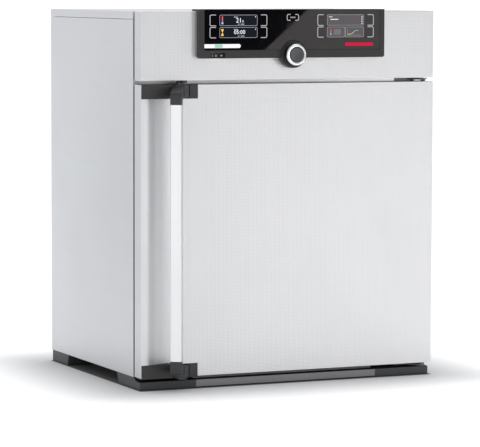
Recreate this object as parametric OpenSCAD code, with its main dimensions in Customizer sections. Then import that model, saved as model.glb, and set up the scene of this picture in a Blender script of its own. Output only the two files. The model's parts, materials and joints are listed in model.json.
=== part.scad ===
// Benchtop laboratory incubator: an insulated steel cabinet with a forced-air chamber,
// a full-height front door with a swing handle, an inner glass door, two wire shelves
// and a control cockpit with twin displays, touch fields and a push-and-turn knob.
// Units are millimetres. X runs to the right, Y to the back and Z up.
// Inside the modules Y = 0 is the front face of the door; the finished part is then
// moved so that its origin is the bottom centre of its bounding box.

/* [Cabinet] */
// Overall width of the casing
body_w = 745; // [620:5:900]
// Height from the floor to the top cover
body_h = 864; // [760:2:1040]
// Depth from the door's front face to the rear panel
body_d = 584; // [560:2:720]
// Thickness of the outer casing sheet
casing_t = 1.2; // [0.8:0.1:2]
// Height of the bottom edge of the side panels above the floor
foot_h = 27.5; // [22:0.5:45]
// Height of the side flange of the top cover
lid_flange = 18; // [12:1:30]
// Width of the return flanges of the side panels
return_flange = 12; // [8:1:20]

/* [Front module] */
// Thickness of the door and of the header above it
front_t = 38; // [30:1:50]
// Gap between the front module and the casing, closed by the gasket
front_gap = 8.7; // [6:0.1:14]
// Height of the header above the door
header_h = 157; // [130:1:190]
// Gap between the header and the door
header_gap = 9; // [8:0.5:14]
// Gap between the door and the side panel bottom edge, upwards
door_rise = 1.5; // [0:0.5:6]
// Thickness of the door and header sheet
skin_t = 1.2; // [0.8:0.1:2]

/* [Chamber] */
// Inner width of the chamber
chamber_w = 560; // [400:5:600]
// Inner height of the chamber
chamber_h = 480; // [360:5:580]
// Inner depth from the glass door to the fan baffle
chamber_d = 400; // [300:5:410]
// Thickness of the chamber sheet
liner_t = 1; // [0.8:0.1:1.5]
// Depth of the fan space behind the baffle
plenum_d = 32; // [28:1:40]
// Number of rib levels on each side wall
rib_count = 6; // [3:1:8]
// Radius of a shelf rib
rib_r = 6; // [4:0.5:7]
// Rib level that carries the lower shelf
lower_level = 2; // [1:1:2]
// Rib level that carries the upper shelf
upper_level = 4; // [3:1:5]

/* [Shelves] */
// Diameter of the shelf's frame wire
frame_wire = 6; // [4:0.5:8]
// Diameter of the shelf's cross wires
cross_wire = 3; // [2:0.5:4]
// Number of cross wires
cross_count = 20; // [12:1:28]
// Gap between a shelf and the fan baffle
shelf_back_gap = 13; // [8:1:30]
// Free travel of a shelf behind the closed glass door
shelf_play = 12; // [6:1:16]

/* [Door furniture] */
// Width of the lock housings
lock_w = 140.4; // [125:0.2:170]
// Height of the lock housings
lock_h = 32; // [28:1:40]
// Distance from the door's left edge to the lever axis
lever_x = 99.9; // [95:0.1:110]
// Depth of the lever axis behind the door's front face
lever_y = 6; // [4:0.5:8]
// Radius of the lever drum
drum_r = 19.6; // [17:0.1:21]
// Angle of the closed handle, turned towards the door's free edge
handle_angle = 32; // [20:1:35]
// Reach of the handle in front of the door
handle_reach = 56; // [50:1:70]
// Width of the handle bar
bar_w = 26.2; // [22:0.2:30]
// Thickness of the handle bar
bar_t = 14; // [12:0.5:18]
// Depth of the finger channel behind the handle
channel_depth = 22; // [14:1:26]
// Radius of the door's hinge pins
hinge_pin_r = 5; // [4:0.5:6]
// Distance of the hinge axis from the door's right edge
hinge_x = 17.5; // [15:0.5:22]
// Depth of the hinge axis behind the door's front face
hinge_y = 18; // [16:1:24]

/* [Cockpit] */
// Width of the control cockpit
cockpit_w = 470; // [440:2:560]
// Height of the cockpit's lower edge below the top cover
cockpit_h = 107; // [100:1:125]
// How far the cockpit stands out from the header
cockpit_t = 16; // [14:0.5:22]
// Height of the cockpit above the top cover
cockpit_rise = 4.5; // [3:0.5:8]
// Border beside the glass
bezel_side = 12.3; // [8:0.1:16]
// Border below the glass
bezel_foot = 18.5; // [16:0.5:22]
// Outer radius of the knob
knob_r = 25; // [20:0.5:28]
// Depth of the knob
knob_t = 15.5; // [12:0.5:24]
// Height of the knob's centre above the cockpit's lower edge
knob_rise = 7.5; // [4:0.5:12]
// Push travel of the knob
push_travel = 1.5; // [1:0.1:1.5]

/* [Air path] */
// Inner radius of the exhaust duct
duct_r = 27; // [20:1:32]
// Wall of the exhaust duct
duct_wall = 3; // [2:0.5:4]
// Length of the exhaust spigot behind the rear panel
spigot_l = 24; // [16:1:40]
// Radius of the fan wheel
fan_r = 80; // [60:1:110]
// Number of fan blades
blade_count = 9; // [6:1:12]

/* [Hidden] */
$fn = 64;
eps = 0.01;

// Colours
steel_white = [0.83, 0.84, 0.86];
steel_bare = [0.72, 0.73, 0.74];
steel_zinc = [0.66, 0.68, 0.7];
plastic_dark = [0.2, 0.2, 0.2];
rubber_dark = [0.07, 0.07, 0.07];

// Clearances
fit_gap = 0.2;      // between pieces of one assembly
run_gap = 0.05;     // radial, between a pin and its bush
move_gap = 0.5;     // between faces that pass each other

// Casing planes
half_w = body_w / 2;
y_casing = front_t + front_gap;          // front edge of the side panels
z_seam = body_h - lid_flange;            // lower edge of the top cover's flange
z_header = body_h - header_h;            // lower edge of the header
z_door_top = z_header - header_gap;
z_door = foot_h + door_rise;             // lower edge of the door
y_rear_in = body_d - casing_t;           // inner face of the rear panel
frame_t = 1.5;                           // sheet of the front frame
y_frame_back = y_casing + frame_t;
frame_half_w = half_w - casing_t - return_flange - fit_gap;
tray_t = 1.2;
z_tray = z_header - 15;                  // floor of the electronics space
z_base_top = foot_h + casing_t;

// Chamber planes: the chamber is centred between the base pan and the electronics tray
half_cw = chamber_w / 2;
z_ch = (z_base_top + z_tray - chamber_h) / 2;
z_ch_top = z_ch + chamber_h;
pane_t = 4;
y_pane = y_casing + 13.3;                // front face of the glass pane
y_ch = y_pane + pane_t + 4;              // front of the usable chamber
y_baffle = y_ch + chamber_d;
baffle_t = 1;
y_liner_back = y_baffle + plenum_d;      // inner face of the chamber's rear wall
mat_t = 2;                               // heating element
rib_y0 = y_ch + 8;
rib_y1 = y_baffle - 10;
rib_pitch = chamber_h / (rib_count + 1);
function rib_z(level) = z_ch + level * rib_pitch;

// Door planes
plug_inset = 5;                          // how far the inner panel's plug passes the chamber mouth
plug_t = 6;
gasket_w = 22;
gasket_gap = 0.3;
hinge_at = [half_w - hinge_x, hinge_y];
end_plate_t = 1.2;
lever_at = [-half_w + lever_x, lever_y];
lower_lock_z = z_door - 2;               // the lower lock housing stands 2 mm past the door's end
upper_lock_z = z_door_top - lock_h;
web_t = 3;                               // floor of a lock housing, which holds the lever's axle
drum_gap = 0.4;
channel_x0 = -half_w + 6;                // where the finger channel starts
channel_low = lever_at[0] - 12;          // its deepest line
channel_x1 = lever_at[0] + 4;            // where it ends behind the handle
channel_steps = 12;

// Handle: the bar's outer face lies at handle_l from the lever axis, so that the foremost
// corner of the levers reaches handle_reach in front of the door
bar_round = 2.5;
handle_l = (lever_y + handle_reach - bar_w / 2 * sin(handle_angle)) / cos(handle_angle);
bar_wall = 2.2;
tenon_l = 14;
bar_z0 = lower_lock_z + lock_h + 12;
bar_z1 = upper_lock_z - 12;
axle_r = 4;
tongue_t = 3;
tongue_w = 12;
tongue_l = 25;

// Cockpit planes
z_cockpit = body_h - cockpit_h;
z_cockpit_top = body_h + cockpit_rise;
flange_back = 27;                        // how far the cockpit's top flange reaches back
glass_t = 3;
glass_w = cockpit_w - 2 * bezel_side;
z_glass = z_cockpit + bezel_foot;
z_glass_top = z_cockpit_top - 0.9;
glass_proud = 0.3;
knob_z = z_cockpit + knob_rise;
boss_r = knob_r + 6;
boss_proud = 2.5;
boss_front = cockpit_t + boss_proud;
knob_gap = 1.8;
stem_r = 3;
notch_w = 36;
notch_h = 12.5;
notch_d = 14;
notch_x = -cockpit_w / 2 + 28;
display_w = 100;
display_h = 54;
display_t = 8;
display_x = 135;                         // centre of a display module from the cockpit's centre

// Air path
duct_at = [chamber_w / 2 - 120, z_ch_top - 70];
duct_out = duct_r + duct_wall;
flap_y = y_liner_back + 42;
flap_pin_r = 2.5;
fan_z = z_ch + chamber_h / 2;
fan_depth = 20;
shaft_r = 4;

// Feet
plinth_y = 12.5;
plinth_h = 18.4;
foot_inset = 2;
pad_t = 1;
left_block_w = 140;
right_block_w = 140;
foot_slant = 12.5;

// Moves the part so that its origin is the bottom centre of its bounding box
origin_y = -(body_d + spigot_l - handle_reach) / 2;

// ---------------------------------------------------------------- helpers

// A box between two corners
module slab(x0, x1, y0, y1, z0, z1) {
    translate([x0, y0, z0]) cube([x1 - x0, y1 - y0, z1 - z0]);
}

// A cylinder that runs to the back from y
module rod_y(x, y, z, r, l) {
    translate([x, y, z]) rotate([-90, 0, 0]) cylinder(r = r, h = l);
}

// A vertical cylinder
module rod_z(x, y, z, r, l) {
    translate([x, y, z]) cylinder(r = r, h = l);
}

// A cylinder that runs to the right
module rod_x(x, y, z, r, l) {
    translate([x, y, z]) rotate([0, 90, 0]) cylinder(r = r, h = l);
}

// A rectangle with round corners, centred
module round_rect(w, h, r) {
    square([w - 2 * r, h], center = true);
    square([w, h - 2 * r], center = true);
    for (sx = [-1, 1], sy = [-1, 1])
        translate([sx * (w / 2 - r), sy * (h / 2 - r)]) circle(r = r, $fn = 32);
}

// Extrudes an outline drawn in X and Z towards the back, from y
module plate_xz(y, t) {
    translate([0, y + t, 0]) rotate([90, 0, 0]) linear_extrude(t) children();
}

// Extrudes an outline drawn in Y and Z to the right, from x
module profile_x(x, w) {
    translate([x, 0, 0]) rotate([90, 0, 90]) linear_extrude(w) children();
}

// A screw with a pan head; its tip points along +Y from the seat at y
module screw_in(x, y, z, head_r = 4, head_h = 2.2, r = 2, l = 8) {
    rod_y(x, y - head_h, z, head_r, head_h);
    rod_y(x, y - eps, z, r, l);
}

// Places children at the lever axis, turned to the closed handle's direction:
// the local +X axis points from the lever axis to the handle bar
module on_lever(z) {
    translate([lever_at[0], lever_at[1], z]) rotate([0, 0, -90 - handle_angle]) children();
}

// ---------------------------------------------------------------- casing

module side_panel(side) {
    outer = side * half_w;
    inner = outer - side * casing_t;
    flange = outer - side * (casing_t + return_flange);
    z_top = z_seam - 0.6;
    color(steel_white) union() {
        slab(min(outer, inner), max(outer, inner), y_casing, y_rear_in - fit_gap, foot_h, z_top);
        slab(min(inner, flange) - eps, max(inner, flange) + eps, y_casing, y_casing + casing_t, foot_h, z_top);
        slab(min(inner, flange) - eps, max(inner, flange) + eps,
            y_rear_in - fit_gap - casing_t, y_rear_in - fit_gap, foot_h, z_top);
    }
}

module left_side_panel() { side_panel(-1); }

module right_side_panel() { side_panel(1); }

module top_cover() {
    color(steel_white) difference() {
        slab(-half_w, half_w, y_casing, body_d, z_seam, body_h);
        slab(-half_w + casing_t, half_w - casing_t, y_casing + casing_t, body_d - casing_t,
            z_seam - 1, body_h - casing_t);
    }
}

// Positions of the rear panel's screws, as [x, z]
screw_r = 2;
rear_screws = [for (x = [-half_w + 8, 0, half_w - 8], z = [foot_h + 30, z_seam - 12]) [x, z],
    for (x = [-half_w + 8, half_w - 8]) [x, (foot_h + z_seam) / 2]];
anchor_pitch = 150;
anchor_r = 2.75;
anchor_z = z_seam - 24;
inlet_at = [-half_w + 110, z_tray + 60];
port_at = [-half_w + 180, z_tray + 60];

z_service = z_tray + 14;                 // lower edge of the service panel
duct_hole = 2 * (duct_out + 5);          // square hole behind the spigot's flange
vent_w = 90;
vent_h = 76;
vent_z = z_service + 20;

module rear_panel() {
    color(steel_zinc) difference() {
        slab(-half_w + 0.5, half_w - 0.5, y_rear_in, body_d, foot_h + 2, z_service - fit_gap);
        for (s = rear_screws) rod_y(s[0], y_rear_in - 1, s[1], screw_r + 0.1, casing_t + 2);
        slab(duct_at[0] - duct_hole / 2, duct_at[0] + duct_hole / 2, y_rear_in - 1, body_d + 1,
            duct_at[1] - duct_hole / 2, duct_at[1] + duct_hole / 2);
    }
}

// The panel above it holds the connections and a louvred insert that lets fresh air in
module service_panel() {
    color(steel_zinc) {
        difference() {
            slab(-half_w + 0.5, half_w - 0.5, y_rear_in, body_d, z_service, z_seam - 0.6);
            for (s = rear_screws) rod_y(s[0], y_rear_in - 1, s[1], screw_r + 0.1, casing_t + 2);
            for (sx = [-1, 1]) rod_y(sx * anchor_pitch / 2, y_rear_in - 1, anchor_z, anchor_r, casing_t + 2);
            slab(-vent_w / 2, vent_w / 2, y_rear_in - 1, body_d + 1, vent_z, vent_z + vent_h);
            slab(inlet_at[0] - 42, port_at[0] + 22, y_rear_in - 1, body_d + 1, inlet_at[1] - 24, inlet_at[1] + 24);
        }
        difference() {
            slab(-vent_w / 2 - 5, vent_w / 2 + 5, body_d + 0.1, body_d + 1.1, vent_z - 5, vent_z + vent_h + 5);
            for (i = [0:6]) slab(-vent_w / 2 + 6, vent_w / 2 - 6, y_rear_in - 1, body_d + 2,
                vent_z + 7 + i * 9, vent_z + 11 + i * 9);
        }
    }
}

module rear_panel_screws() {
    color(steel_bare) for (s = rear_screws)
        translate([s[0], body_d, s[1]]) rotate([0, 0, 180]) screw_in(0, 0, 0, head_r = 3.8, r = screw_r, l = casing_t);
}

module base_pan() {
    color(steel_zinc) slab(-half_w + casing_t + fit_gap, half_w - casing_t - fit_gap,
        y_frame_back + fit_gap, y_rear_in - casing_t - 2 * fit_gap, foot_h, z_base_top);
}

module front_frame() {
    color(steel_bare) difference() {
        slab(-frame_half_w, frame_half_w, y_casing, y_frame_back, foot_h, z_seam - fit_gap - 0.6);
        slab(-half_cw, half_cw, y_casing - 1, y_frame_back + 1, z_ch, z_ch_top);
    }
}

// ---------------------------------------------------------------- chamber

module chamber_liner() {
    color(steel_bare) difference() {
        union() {
            difference() {
                slab(-half_cw - liner_t, half_cw + liner_t, y_frame_back, y_liner_back + liner_t,
                    z_ch - liner_t, z_ch_top + liner_t);
                slab(-half_cw, half_cw, y_frame_back - 1, y_liner_back, z_ch, z_ch_top);
            }
            // shelf ribs, half round, on both side walls
            for (side = [-1, 1], i = [1:rib_count]) intersection() {
                rod_y(side * (half_cw + eps), rib_y0, rib_z(i), rib_r, rib_y1 - rib_y0);
                slab(side > 0 ? half_cw - rib_r - 1 : -half_cw - liner_t / 2,
                    side > 0 ? half_cw + liner_t / 2 : -half_cw + rib_r + 1,
                    rib_y0 - 1, rib_y1 + 1, rib_z(i) - rib_r - 1, rib_z(i) + rib_r + 1);
            }
        }
        rod_y(0, y_liner_back - 1, fan_z, shaft_r + 3, liner_t + 2);
        rod_y(duct_at[0], y_liner_back - 1, duct_at[1], duct_r, liner_t + 2);
    }
}

module heating_elements() {
    y0 = y_casing + 40;
    y1 = y_liner_back - 10;
    side_x = half_cw + liner_t;
    color([0.75, 0.45, 0.2]) {
        for (s = [-1, 1]) slab(s > 0 ? side_x : -side_x - mat_t, s > 0 ? side_x + mat_t : -side_x,
            y0, y1, z_ch + 20, z_ch_top - 20);
        slab(-half_cw + 20, half_cw - 20, y0, y1, z_ch - liner_t - mat_t, z_ch - liner_t);
        slab(-half_cw + 20, half_cw - 20, y0, y1, z_ch_top + liner_t, z_ch_top + liner_t + mat_t);
    }
}

module insulation_mats() {
    inner_x = half_cw + liner_t + mat_t + fit_gap;
    outer_x = half_w - casing_t - fit_gap;
    y0 = y_frame_back + casing_t + fit_gap;
    y1 = y_liner_back + liner_t + fit_gap;
    z0 = z_base_top + fit_gap;
    z1 = z_tray - fit_gap;
    zi0 = z_ch - liner_t - mat_t - fit_gap;
    zi1 = z_ch_top + liner_t + mat_t + fit_gap;
    rear_t = y_rear_in - 2 * casing_t - 16 - y1;
    color([0.85, 0.8, 0.6]) {
        slab(-outer_x, -inner_x, y0, y1 - fit_gap, z0, z1);
        slab(inner_x, outer_x, y0, y1 - fit_gap, z0, z1);
        slab(-inner_x + fit_gap, inner_x - fit_gap, y0, y1 - fit_gap, z0, zi0);
        slab(-inner_x + fit_gap, inner_x - fit_gap, y0, y1 - fit_gap, zi1, z1);
        difference() {
            slab(-outer_x, outer_x, y1, y1 + rear_t, z0, z1);
            rod_y(0, y1 - 1, fan_z, motor_r + 2, rear_t + 2);
            rod_y(duct_at[0], y1 - 1, duct_at[1], duct_out + fit_gap, rear_t + 2);
            slab(duct_at[0] - 18, duct_at[0] + 18, flap_y - 18, y1 + rear_t + 1,
                duct_at[1] + duct_out - 2, duct_at[1] + duct_out + 42);
            slab(duct_at[0] - 6, duct_at[0] + 6, flap_y - 6, y1 + rear_t + 1,
                duct_at[1] - duct_out - 6, duct_at[1] - duct_out + 2);
        }
    }
}

module fan_baffle() {
    color(steel_bare) difference() {
        slab(-half_cw + fit_gap, half_cw - fit_gap, y_baffle, y_baffle + baffle_t,
            z_ch + fit_gap, z_ch_top - fit_gap);
        // air intake: rings of holes in front of the fan
        for (ring = [1:3], i = [0:ring * 6 - 1])
            translate([ring * 17 * cos(i * 60 / ring), 0, ring * 17 * sin(i * 60 / ring)])
                rod_y(0, y_baffle - 1, fan_z, 5.5, baffle_t + 2);
        rod_y(0, y_baffle - 1, fan_z, 5.5, baffle_t + 2);
        // air outlets along both sides
        for (s = [-1, 1], i = [0:7])
            slab(s * (half_cw - 34) - 14, s * (half_cw - 34) + 14, y_baffle - 1, y_baffle + baffle_t + 1,
                z_ch + 40 + i * (chamber_h - 80) / 8, z_ch + 48 + i * (chamber_h - 80) / 8);
    }
}

motor_r = 34;
motor_l = 46;
module fan_motor() {
    y0 = y_liner_back + liner_t + 4;
    color([0.35, 0.36, 0.38]) difference() {
        union() {
            rod_y(0, y0, fan_z, motor_r, motor_l);
            rod_y(0, y0 + motor_l - eps, fan_z, motor_r * 0.55, 8);
            rod_y(0, y_liner_back + liner_t, fan_z, shaft_r + 6, 4 + eps);
        }
        rod_y(0, y_liner_back, fan_z, shaft_r + run_gap, motor_l);
    }
}

module fan_wheel() {
    y0 = y_baffle + baffle_t + 4;
    hub_r = 14;
    color([0.78, 0.79, 0.8]) union() {
        rod_y(0, y0 + fan_depth - 1.5, fan_z, fan_r, 1.5);
        rod_y(0, y0, fan_z, hub_r, fan_depth - 1);
        for (i = [0:blade_count - 1])
            translate([0, 0, fan_z]) rotate([0, i * 360 / blade_count, 0]) translate([0, 0, -fan_z])
                slab(fan_r * 0.5, fan_r - 1, y0, y0 + fan_depth - 1, fan_z - 1, fan_z + 1);
        rod_y(0, y0 + fan_depth - 1, fan_z, shaft_r, y_liner_back + liner_t + 40 - y0 - fan_depth);
    }
}

module exhaust_duct() {
    y1 = y_rear_in - 0.5;
    color(steel_bare) difference() {
        rod_y(duct_at[0], y_liner_back + liner_t, duct_at[1], duct_out, y1 - y_liner_back - liner_t);
        rod_y(duct_at[0], y_liner_back, duct_at[1], duct_r, y1 - y_liner_back + 1);
        rod_z(duct_at[0], flap_y, duct_at[1] - duct_out - 1, flap_pin_r + run_gap, 2 * duct_out + 2);
    }
}

module air_flap() {
    color([0.8, 0.8, 0.82]) union() {
        rod_y(duct_at[0], flap_y - 0.75, duct_at[1], duct_r - 1, 1.5);
        rod_z(duct_at[0], flap_y, duct_at[1] - duct_out - 3, flap_pin_r, 2 * duct_out + 8);
    }
}

module flap_motor() {
    z0 = duct_at[1] + duct_out + 1;
    color([0.85, 0.85, 0.82]) difference() {
        slab(duct_at[0] - 16, duct_at[0] + 16, flap_y - 16, flap_y + 14, z0, z0 + 38);
        rod_z(duct_at[0], flap_y, z0 - 1, flap_pin_r + run_gap, 8);
    }
}

module exhaust_spigot() {
    color(plastic_dark) difference() {
        union() {
            slab(duct_at[0] - duct_out - 13, duct_at[0] + duct_out + 13, body_d, body_d + 2,
                duct_at[1] - duct_out - 13, duct_at[1] + duct_out + 13);
            rod_y(duct_at[0], body_d, duct_at[1], duct_out, spigot_l);
        }
        rod_y(duct_at[0], body_d - 1, duct_at[1], duct_r, spigot_l + 2);
    }
}

module temperature_sensors() {
    color(steel_bare) for (dx = [-16, 16]) union() {
        rod_y(dx + half_cw / 2, y_baffle - 60, z_ch_top - 40, 2, 60);
        rod_y(dx + half_cw / 2, y_baffle - 4, z_ch_top - 40, 5, 4);
    }
}

// ---------------------------------------------------------------- door seal, glass door, shelves

module door_gasket() {
    z0 = z_ch - plug_inset - 5;
    z1 = z_ch_top + plug_inset + 5;
    x0 = half_cw + plug_inset + 5;
    color([0.3, 0.3, 0.31]) difference() {
        slab(-x0 - gasket_w, x0 + gasket_w, front_t + gasket_gap, y_casing, z0 - gasket_w, z1 + gasket_w);
        slab(-x0, x0, front_t, y_casing + 1, z0, z1);
    }
}

// Glass door hinge axis and levels
pane_gap = 2;
glass_pin_r = 2.5;
glass_hinge_x = half_cw - pane_gap - 4;
glass_hinge_y = y_pane + pane_t / 2;
clamp_w = 26;
clamp_h = 22;
bracket_h = 6;

module glass_door_brackets() {
    color(steel_bare) for (up = [0, 1]) {
        z0 = up ? z_ch_top - bracket_h : z_ch;
        difference() {
            slab(glass_hinge_x - 6, half_cw, glass_hinge_y - 5, glass_hinge_y + 5, z0, z0 + bracket_h);
            rod_z(glass_hinge_x, glass_hinge_y, z0 - 1, glass_pin_r + run_gap, bracket_h + 2);
        }
    }
}

pane_z0 = z_ch + bracket_h + 2;
pane_z1 = z_ch_top - bracket_h - 2;
glass_knob_x = -half_cw + 30;
glass_knob_z = z_ch + chamber_h / 2;

module glass_pane() {
    color([0.8, 0.9, 0.88, 0.35]) difference() {
        slab(-half_cw + pane_gap, half_cw - pane_gap, y_pane, y_pane + pane_t, pane_z0, pane_z1);
        for (up = [0, 1]) slab(glass_hinge_x - clamp_w, half_cw, y_pane - 1, y_pane + pane_t + 1,
            up ? pane_z1 - clamp_h : pane_z0 - 1, up ? pane_z1 + 1 : pane_z0 + clamp_h);
        rod_y(glass_knob_x, y_pane - 1, glass_knob_z, 4, pane_t + 2);
    }
}

module glass_door_fittings() {
    color(steel_bare) {
        for (up = [0, 1]) {
            z0 = up ? pane_z1 - clamp_h : pane_z0;
            union() {
                slab(glass_hinge_x - clamp_w + eps, glass_hinge_x + 3.5, y_pane - 2, y_pane + pane_t + 2,
                    z0 + (up ? eps : 0), z0 + clamp_h - (up ? 0 : eps));
                rod_z(glass_hinge_x, glass_hinge_y, up ? z0 + clamp_h - 1 : z0 - bracket_h,
                    glass_pin_r, bracket_h + 1);
            }
        }
        union() {
            rod_y(glass_knob_x, y_pane - 11, glass_knob_z, 9, 6);
            rod_y(glass_knob_x, y_pane - 5.5, glass_knob_z, 5, 5.5);
            rod_y(glass_knob_x, y_pane - 1, glass_knob_z, 3.9, pane_t + 2);
            rod_y(glass_knob_x, y_pane + pane_t, glass_knob_z, 7, 2);
        }
    }
}

// A wire shelf: a round frame, two stiffeners and cross wires welded into one plane
module wire_shelf(level) {
    r = frame_wire / 2;
    x = half_cw - r - 1.5;
    // the round frame wire rests on the half-round rib
    z = rib_z(level) + sqrt(pow(rib_r + r, 2) - pow(half_cw - x, 2)) + 0.1;
    y0 = y_ch + shelf_play + 2;
    y1 = y_baffle - shelf_back_gap - r;
    span = 2 * (x - r) / (cross_count + 1);
    color(steel_bare) union() {
        for (s = [-1, 1]) rod_y(s * x, y0, z, r, y1 - y0);
        for (y = [y0, y1]) rod_x(-x, y, z, r, 2 * x);
        for (s = [-1, 1], y = [y0, y1]) translate([s * x, y, z]) sphere(r = r);
        for (f = [1, 2]) rod_x(-x, y0 + f * (y1 - y0) / 3, z, r * 0.8, 2 * x);
        for (i = [1:cross_count])
            rod_y(-x + r + i * span, y0, z, cross_wire / 2, y1 - y0);
    }
}

module upper_shelf() { wire_shelf(upper_level); }

module lower_shelf() { wire_shelf(lower_level); }

// ---------------------------------------------------------------- header and cockpit

module header_panel() {
    hole_w = cockpit_w - 60;
    color(steel_white) difference() {
        slab(-half_w, half_w, 0, front_t, z_header, body_h);
        slab(-half_w + skin_t, half_w - skin_t, skin_t, front_t - skin_t, z_header + skin_t, body_h - skin_t);
        slab(-half_w + 18, half_w - 18, front_t - 2, front_t + 1, z_header + 18, body_h - 18);
        slab(-hole_w / 2, hole_w / 2, -1, skin_t + 1, z_glass + 12, body_h - 10);
        slab(-11, 11, -1, skin_t + 1, knob_z - 11, z_glass + 13);
        slab(notch_x - 2, notch_x + notch_w + 2, -1, skin_t + 1, z_cockpit + notch_h, z_cockpit + notch_h + 16);
    }
}

module header_rail() {
    color(rubber_dark) difference() {
        slab(-half_w + 6, half_w - 6, front_t, y_casing, z_header + 6, body_h - 6);
        slab(-half_w + 40, half_w - 40, front_t - 1, y_casing + 1, z_header + 30, body_h - 30);
    }
}

module cockpit_outline(r = 5) {
    w = cockpit_w;
    translate([-w / 2, z_cockpit + r]) square([w, z_cockpit_top - z_cockpit - r]);
    translate([-w / 2 + r, z_cockpit]) square([w - 2 * r, r + 1]);
    for (s = [-1, 1]) translate([s * (w / 2 - r), z_cockpit + r]) circle(r = r, $fn = 32);
}

// The glass outline, with a round cut-out above the knob
module glass_outline(gap = 0) {
    difference() {
        translate([-glass_w / 2 - gap, z_glass - gap])
            square([glass_w + 2 * gap, z_glass_top - z_glass + gap]);
        translate([0, knob_z]) circle(r = boss_r + 2 - gap);
    }
}

module cockpit_bezel() {
    color(plastic_dark) difference() {
        union() {
            plate_xz(-cockpit_t, cockpit_t) cockpit_outline();
            slab(-cockpit_w / 2, cockpit_w / 2, -1, flange_back, body_h, z_cockpit_top);
            rod_y(0, -boss_front, knob_z, boss_r, boss_front);
        }
        // pocket for the glass and the room behind it
        plate_xz(-cockpit_t - 1, 1 + glass_t + fit_gap - glass_proud) glass_outline(gap = fit_gap);
        slab(-glass_w / 2 + 8, glass_w / 2 - 8, -cockpit_t, 1, knob_z + boss_r + 6, body_h - 8);
        for (s = [-1, 1]) slab(s > 0 ? boss_r + 8 : -glass_w / 2 + 8, s > 0 ? glass_w / 2 - 8 : -boss_r - 8,
            -cockpit_t, 1, z_glass + 14, knob_z + boss_r + 7);
        // notch with the main switch and the data port
        slab(notch_x, notch_x + notch_w, -cockpit_t - 1, -cockpit_t + notch_d, z_cockpit - 1, z_cockpit + notch_h);
        slab(notch_x + 1, notch_x + notch_w - 1, -cockpit_t + 2, 1, z_cockpit + notch_h - 1, z_glass + 15);
        // shallow bowl and stem bore behind the knob
        rod_y(0, -boss_front - 1, knob_z, knob_r - 3, 3);
        rod_y(0, -boss_front - 1, knob_z, stem_r + 2, boss_front + 2);
        slab(-10, 10, -cockpit_t + 5, 1, knob_z - 10, knob_z + 10);
    }
}

module cockpit_glass() {
    color([0.03, 0.03, 0.035]) difference() {
        plate_xz(-cockpit_t - glass_proud, glass_t) glass_outline();
        slab(-glass_w / 2 - 1, -glass_w / 2 + energy_bar_w, -cockpit_t - 1, -cockpit_t + glass_t,
            energy_bar_z, energy_bar_z + energy_bar_h);
    }
}

energy_bar_w = 90;
energy_bar_h = 9.3;
energy_bar_z = z_glass + 4.8;
module energy_bar() {
    color([0.9, 0.92, 0.9]) slab(-glass_w / 2 + fit_gap, -glass_w / 2 + energy_bar_w - fit_gap,
        -cockpit_t - glass_proud, -cockpit_t - glass_proud + glass_t - 0.2,
        energy_bar_z + fit_gap, energy_bar_z + energy_bar_h - fit_gap);
}

module display_modules() {
    color([0.12, 0.13, 0.2]) for (s = [-1, 1])
        translate([s * display_x, 0, z_glass + 51])
            slab(-display_w / 2, display_w / 2, -cockpit_t + glass_t, -cockpit_t + glass_t + display_t,
                -display_h / 2, display_h / 2);
}

board_y = 8;
module control_board() {
    color([0.1, 0.35, 0.18]) union() {
        difference() {
            slab(-cockpit_w / 2 + 40, cockpit_w / 2 - 40, board_y, board_y + 1.6, z_glass + 14, body_h - 14);
            rod_y(0, board_y - 1, knob_z + 30, 2, 4);
        }
        slab(-12, 12, board_y + 1.6 - eps, board_y + 12, z_glass + 40, z_glass + 56);
        slab(-9, 9, board_y, board_y + 1.6, knob_z - 9, z_glass + 15);
        for (x = [-180, 180], z = [z_glass + 20, body_h - 20])
            rod_y(x, board_y + 1.6 - eps, z, 3, front_t - skin_t - board_y - 8);
        difference() {
            slab(-9, 9, -cockpit_t + 6, board_y + eps, knob_z - 9, knob_z + 9);
            rod_y(0, -cockpit_t + 5, knob_z, stem_r + run_gap, cockpit_t - 4);
        }
    }
}

rocker_w = 14;
rocker_x = notch_x + 11;
rocker_y = -cockpit_t + notch_d / 2 + 2;
switch_z = z_cockpit + notch_h;
port_x0 = notch_x + notch_w - 17;        // left side of the data port
module switch_module() {
    color([0.05, 0.05, 0.05]) difference() {
        slab(notch_x + 1 + fit_gap, port_x0 - fit_gap, -cockpit_t + 3.4, -fit_gap, switch_z, switch_z + 14);
        slab(rocker_x - rocker_w / 2 - 0.6, rocker_x + rocker_w / 2 + 0.6, rocker_y - 4.6, rocker_y + 4.6,
            switch_z - 1, switch_z + 7);
        rod_y(rocker_x, rocker_y - 5.2, switch_z + 2, 1 + run_gap, 10.4);
    }
    color([0.6, 0.6, 0.6]) difference() {
        slab(port_x0, notch_x + notch_w - 1 - fit_gap, rocker_y - 4, rocker_y + 4, switch_z, switch_z + 14);
        slab(port_x0 + 1.9, notch_x + notch_w - 3.1, rocker_y - 2.4, rocker_y + 2.4, switch_z - 1, switch_z + 10);
    }
}

// The rocker rests with one end pressed in; its pivot pins run front to back
rocker_tilt = 7;
module power_rocker() {
    color([0.08, 0.08, 0.08]) translate([rocker_x, rocker_y, switch_z + 2]) rotate([0, rocker_tilt, 0]) {
        union() {
            rotate([90, 0, 0]) translate([0, 0, -4]) linear_extrude(8)
                polygon([[-rocker_w / 2 + 0.4, 1], [-rocker_w / 2 + 0.4, -2.2], [0, -1.4],
                    [rocker_w / 2 - 0.4, -2.2], [rocker_w / 2 - 0.4, 1], [3, 3], [-3, 3]]);
            rod_y(0, -5, 0, 1, 10);
        }
    }
}

module encoder_stem() {
    color(steel_bare) rod_y(0, -boss_front - knob_gap - knob_t + 4, knob_z, stem_r,
        boss_front + knob_gap + knob_t - 4 - cockpit_t / 2 + 6 - push_travel);
}

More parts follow.
